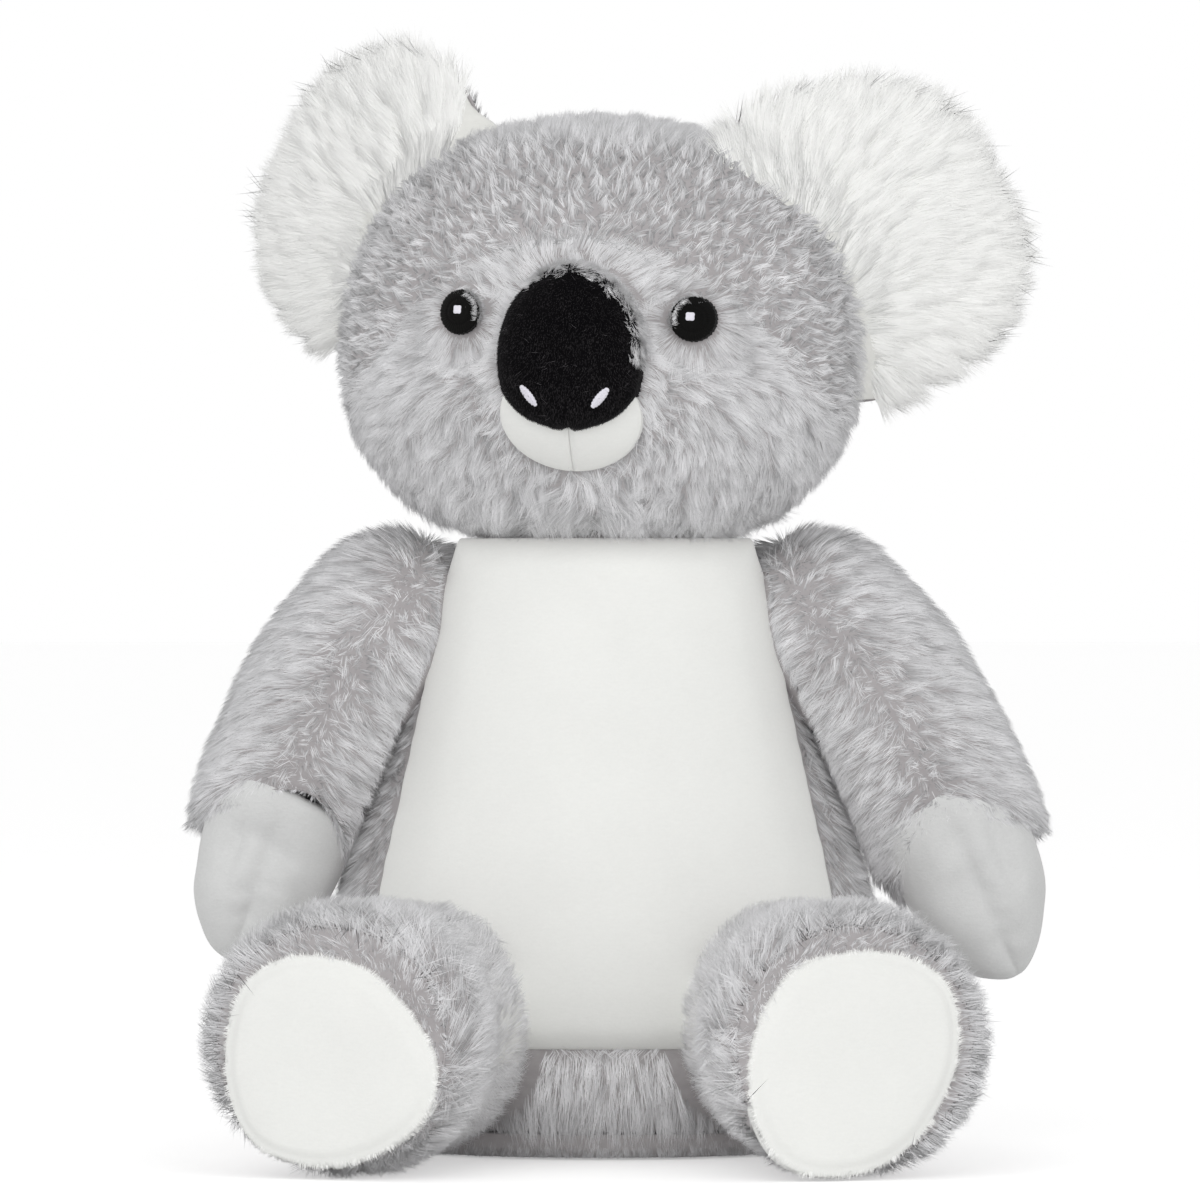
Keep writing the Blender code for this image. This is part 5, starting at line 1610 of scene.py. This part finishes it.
def make_nostrils():
    """Satin stitches: a small oval whose height has a fine ridge for each thread across it."""
    for side, sign in SIDES.items():
        rows = pad_rows(NOSTRIL_WIDTH / 2, NOSTRIL_LENGTH / 2, 0.7 * MM, 0.8 * MM)
        vertices, faces = stack(rings(rows, 64))
        x, y, z = vertices.T
        vertices[:, 2] += 0.10 * MM * np.sin(y / (0.09 * MM)) * ramp(z, 0, 0.4 * MM)
        vertices[:, 0] += 0.12 * MM * np.sin(y / (0.16 * MM)) * np.sign(x)
        slant = sign * NOSTRIL_SLANT
        turn = np.array(((math.cos(slant), math.sin(slant)), (-math.sin(slant), math.cos(slant))))
        vertices[:, :2] = vertices[:, :2] @ turn.T
        vertices[:, 0] += sign * NOSTRIL_APART / 2
        vertices[:, 1] -= NOSTRIL_DROP
        vertices[:, 2] += nose_rise(vertices[:, 0], vertices[:, 1]) + 0.6 * MM
        piece = new_piece(f"nostril_{side}_stitches", moved(vertices, HEAD @ facing(NOSE_PLACE)), faces,
                          material("white_thread"))
        dress(piece, "head", "white_thread", f"nostril_{side}")


def on_face(vertices, middle):
    """A pad's flat places laid on the face: x and y become x and z there, and its height stands out to the
    front."""
    x, z = vertices[:, 0] + middle[0], vertices[:, 1] + middle[1]
    return np.stack([x, face_front(x, z) - vertices[:, 2], z], axis=1)


def make_chin():
    """Each half is a domed half oval on the face, drawn in along the seam where the two meet."""
    for side, sign in SIDES.items():
        points = rings(pad_rows(CHIN_WIDTH / 2, CHIN_HEIGHT / 2, CHIN_RISE, 7 * MM), 96)
        vertices, faces = stack(points)
        x, _, z = vertices.T
        seam = 0.03 * MM
        inside = np.maximum(sign * x, 0)
        vertices[:, 2] -= 1.1 * MM * hump(inside, 0, 1.6 * MM) * ramp(z, 0, 1 * MM)
        vertices[:, 0] = sign * (inside + seam)
        world = moved(on_face(vertices, (0, CHIN_UP)), HEAD)
        piece = new_piece(f"chin_{side}_velour", world, faces, material("white_velour"))
        dress(piece, "head", "white_velour", f"chin_{side}")


def make_eyes():
    """An embroidered disc: rings of stitches round a middle, whose threads run outwards and end
    unevenly."""
    eyes = {}
    for side, sign in SIDES.items():
        middle = (sign * EYES_APART / 2, EYE_UP)
        radius = EYE_DIAMETER / 2
        points = rings(pad_rows(radius, radius * 1.03, 1.2 * MM, 3 * MM), 180)
        angle = np.arctan2(points[..., 1], points[..., 0])
        far = np.hypot(points[..., 0], points[..., 1]) / radius
        ragged = np.sin(angle * 53 + 2 * np.sin(angle * 5)) + np.sin(angle * 31 + 1.5 * np.sin(angle * 3))
        points[..., :2] *= (1 + 0.016 * ragged * ramp(far, 0.85, 1.0))[..., None]
        groove = hump(far, 0.62, 0.05) + 0.6 * hump(far, 0.30, 0.05)
        thread = np.sin(angle * 45) * ramp(far, 0.2, 0.5)
        points[..., 2] += (0.12 * MM * thread - 0.35 * MM * groove) * (points[..., 2] > 0)
        vertices, faces = stack(points)
        piece = new_piece(f"eye_{side}_stitches", moved(on_face(vertices, middle), HEAD), faces,
                          material("black_thread"))
        eyes[side] = dress(piece, "head", "black_thread", f"eye_{side}")

        glint = rings(pad_rows(GLINT_DIAMETER / 2, GLINT_DIAMETER / 2, 0.5 * MM, 0.6 * MM), 40)
        turn = np.arctan2(glint[..., 1], glint[..., 0])
        glint[..., :2] *= (1 - 0.12 * np.cos(4 * turn))[..., None]
        glint[..., 2] += 1.2 * MM
        vertices, faces = stack(glint)
        world = moved(on_face(vertices, (middle[0] - 0.6 * MM, middle[1] + 0.6 * MM)), HEAD)
        piece = new_piece(f"eye_glint_{side}_stitches", world, faces, material("white_thread"))
        dress(piece, "head", "white_thread", f"eye_glint_{side}")
    return eyes


class KOALA_OT_face(bpy.types.Operator):
    """Make the nose, the nostrils, the chin and the eyes"""

    bl_idname = "koala.face"
    bl_label = "Face"

    def execute(self, context):
        nose = make_nose()
        plant(["nose_pile"], nose, "head", "black_velour", material("black_pile"), FUR_DENSITY["nose"],
              nose_style, 30)
        over_nose = rim_style((0, NOSE_UP), (0.55, 0.83, 0.35, 4.6 * MM), (NOSE_WIDTH / 2, NOSE_HEIGHT / 2))
        plant(["nose_rim_fur"], nose, "head", "grey_plush", material("grey_fur"), FUR_DENSITY["nose_rim"],
              over_nose, 31)
        make_nostrils()
        make_chin()
        for side, eye in make_eyes().items():
            middle = (SIDES[side] * EYES_APART / 2, EYE_UP)
            reach = (EYE_DIAMETER / 2, EYE_DIAMETER / 2)
            over_eye = rim_style(middle, (-0.9 * SIDES[side], 0.42, 0.62, 2.8 * MM), reach)
            plant([f"eye_{side}_rim_fur"], eye, "head", "grey_plush", material("grey_fur"),
                  FUR_DENSITY["eye_rim"], over_eye, 32)
        return {"FINISHED"}


# Seat and zip


def make_base():
    """The two panels under the body: rows of places from the zip's edge out to the rim's ellipse, flat
    below, rising to the rim in a quarter round, and closed above. The pile hangs from their rims to the
    floor."""
    wide, deep = BODY_WIDTH / 2 * BASE_SHARE, BODY_DEPTH / 2 * BASE_SHARE
    for name, sign in (("front", -1), ("rear", 1)):
        split = ZIP_AT + sign * (ZIP_SLOT / 2 + 0.2 * MM)
        half = wide * math.sqrt(1 - (split / deep) ** 2)
        x = np.sin(np.linspace(-math.pi / 2, math.pi / 2, 60))[None] * half
        arc = sign * deep * np.sqrt(np.clip(1 - (x / wide) ** 2, 0, 1))
        share = np.sin(np.linspace(0, math.pi / 2, 14))[:, None]
        y = split + (arc - split) * share
        x = x + 0 * y
        far = np.clip((np.hypot(x / wide, y / deep) - 0.88) / 0.12, 0, 1)
        lower = FLOOR_GAP + 0.1 * MM + 3.5 * MM * (1 - np.sqrt(1 - far ** 2))
        grids = [np.stack([x, y, lower], -1), np.stack([x, y, 0 * x + BASE_THICKNESS - 0.2 * MM], -1)]
        if sign > 0:
            grids.reverse()
        vertices, faces = slab(*grids)
        piece = new_piece(f"base_{name}_plush", vertices, faces, material("grey_backing"))
        dress(piece, "body", "grey_plush", f"base_{name}_panel")
        plant([f"base_{name}_fur"], piece, "body", "grey_plush", material("grey_fur"), FUR_DENSITY["base"],
              base_style, 40 + sign, above_floor)


def base_style(strands):
    """Only the rim's pile stands out. It falls to the floor."""
    x, y, z = strands.roots.T
    far = np.hypot(x / (BODY_WIDTH / 2 * BASE_SHARE), y / (BODY_DEPTH / 2 * BASE_SHARE))
    out = unit(np.stack([x, y, 0 * x], axis=1))
    comb(strands, out * 0.1 + np.array((0.0, 0.0, -1.0)) + 0.2 * wander(strands.roots, 12 * MM, 17), 0.1,
         4 * MM)
    strands.normals = unit(strands.normals + out)
    strands.rise = strands.rise - 0.22
    # Painted shade: the rim's pile is darker, as the shade under the body at the floor
    strands.shade = strands.shade - 0.28
    strands.keep = (far > 0.95) & (z < BASE_THICKNESS - 0.5 * MM)


class KOALA_OT_seat(bpy.types.Operator):
    """Finish the base panels and the zip between them"""

    bl_idname = "koala.seat"
    bl_label = "Seat and zip"

    def execute(self, context):
        make_base()
        finishes = {name: "zip_tape" for name in ("zip_tape_front", "zip_tape_rear")}
        finishes.update({name: "zip_metal" for name in ("zip_stop_left", "zip_stop_right", "zip_slider",
                                                        "zip_pull")})
        finishes["zip_chain"] = "zip_nylon"
        for name, finish in finishes.items():
            node = frame["nodes"][name]
            if not node.material_slots:
                node.data.materials.append(None)
            node.material_slots[0].material = material(finish)
        return {"FINISHED"}


# Stage


def area_light(name, power, size, place, aim):
    data = bpy.data.lights.new(name, "AREA")
    data.energy = power
    data.size = size
    light = bpy.data.objects.new(name, data)
    light.location = place
    way = Matrix.Translation(aim).translation - light.location
    light.rotation_euler = way.to_track_quat("-Z", "Y").to_euler()
    bpy.context.scene.collection.objects.link(light)


class KOALA_OT_stage(bpy.types.Operator):
    """Make the camera, the lights and the pale floor"""

    bl_idname = "koala.stage"
    bl_label = "Stage"

    def execute(self, context):
        settings = context.scene.koala_stage
        data = bpy.data.cameras.new("camera")
        data.lens = settings.lens
        data.sensor_width = 36
        data.clip_end = 100
        camera = bpy.data.objects.new("camera", data)
        camera.location = (-1.6 * MM, -settings.distance, settings.eye_level)
        camera.rotation_euler = (math.pi / 2, 0, 0)
        context.scene.collection.objects.link(camera)
        context.scene.camera = camera
        context.scene.view_settings.view_transform = "Standard"
        area_light("key", settings.key_power, 1.8, (-1.0, -2.1, 1.0), (0, 0, 0.14))
        area_light("fill", settings.key_power * 0.8, 1.8, (1.2, -2.0, 0.7), (0, 0, 0.14))

        world = bpy.data.worlds.new("sky")
        context.scene.world = world
        world.use_nodes = True
        tree = world.node_tree
        background = tree.nodes["Background"]
        background.inputs["Color"].default_value = (1, 1, 1, 1)
        path = tree.nodes.new("ShaderNodeLightPath")
        seen = sums(tree, "MAXIMUM", path.outputs["Is Camera Ray"], path.outputs["Is Glossy Ray"])
        seen = sums(tree, "MAXIMUM", seen, path.outputs["Is Transmission Ray"])
        strength = sums(tree, "MULTIPLY_ADD", seen, 1.0 - settings.sky, settings.sky)
        tree.links.new(strength, background.inputs["Strength"])

        floor_material, tree, node = shader("pale_floor", (0.90, 0.90, 0.90), roughness=0.9)
        node.inputs["Emission Color"].default_value = (1, 1, 1, 1)
        path = tree.nodes.new("ShaderNodeLightPath")
        seen = sums(tree, "MAXIMUM", path.outputs["Is Camera Ray"], path.outputs["Is Glossy Ray"])
        tree.links.new(sums(tree, "MULTIPLY", seen, 0.40), node.inputs["Emission Strength"])
        half = 30.0
        corners = np.array([(-half, -half, 0), (half, -half, 0), (half, half, 0), (-half, half, 0)])
        floor = new_piece("floor", corners, [(0, 1, 2, 3)], floor_material, smooth=False)
        return {"FINISHED"}


STEPS = (KOALA_OT_stage, KOALA_OT_head, KOALA_OT_face, KOALA_OT_ears, KOALA_OT_body, KOALA_OT_arms,
         KOALA_OT_legs, KOALA_OT_seat)


class KOALA_PT_panel(bpy.types.Panel):
    """Shows the koala's steps and their settings"""

    bl_label = "Koala"
    bl_idname = "KOALA_PT_panel"
    bl_space_type = "VIEW_3D"
    bl_region_type = "UI"
    bl_category = "Koala"

    def draw(self, context):
        for step in STEPS:
            self.layout.operator(step.bl_idname)
        for name in ("koala_fur", "koala_velour", "koala_stage"):
            settings = getattr(context.scene, name)
            for label in settings.__annotations__:
                self.layout.prop(settings, label)


CLASSES = (KoalaFur, KoalaVelour, KoalaStage, *STEPS, KOALA_PT_panel)


def register():
    for item in CLASSES:
        bpy.utils.register_class(item)
    bpy.types.Scene.koala_fur = PointerProperty(type=KoalaFur)
    bpy.types.Scene.koala_velour = PointerProperty(type=KoalaVelour)
    bpy.types.Scene.koala_stage = PointerProperty(type=KoalaStage)


def unregister():
    for name in ("koala_fur", "koala_velour", "koala_stage"):
        delattr(bpy.types.Scene, name)
    for item in reversed(CLASSES):
        bpy.utils.unregister_class(item)


def main():
    register()
    bpy.ops.koala.stage()
    bpy.ops.koala.head()
    bpy.ops.koala.face()
    bpy.ops.koala.ears()
    bpy.ops.koala.body()
    bpy.ops.koala.arms()
    bpy.ops.koala.legs()
    bpy.ops.koala.seat()


if __name__ == "__main__":
    main()
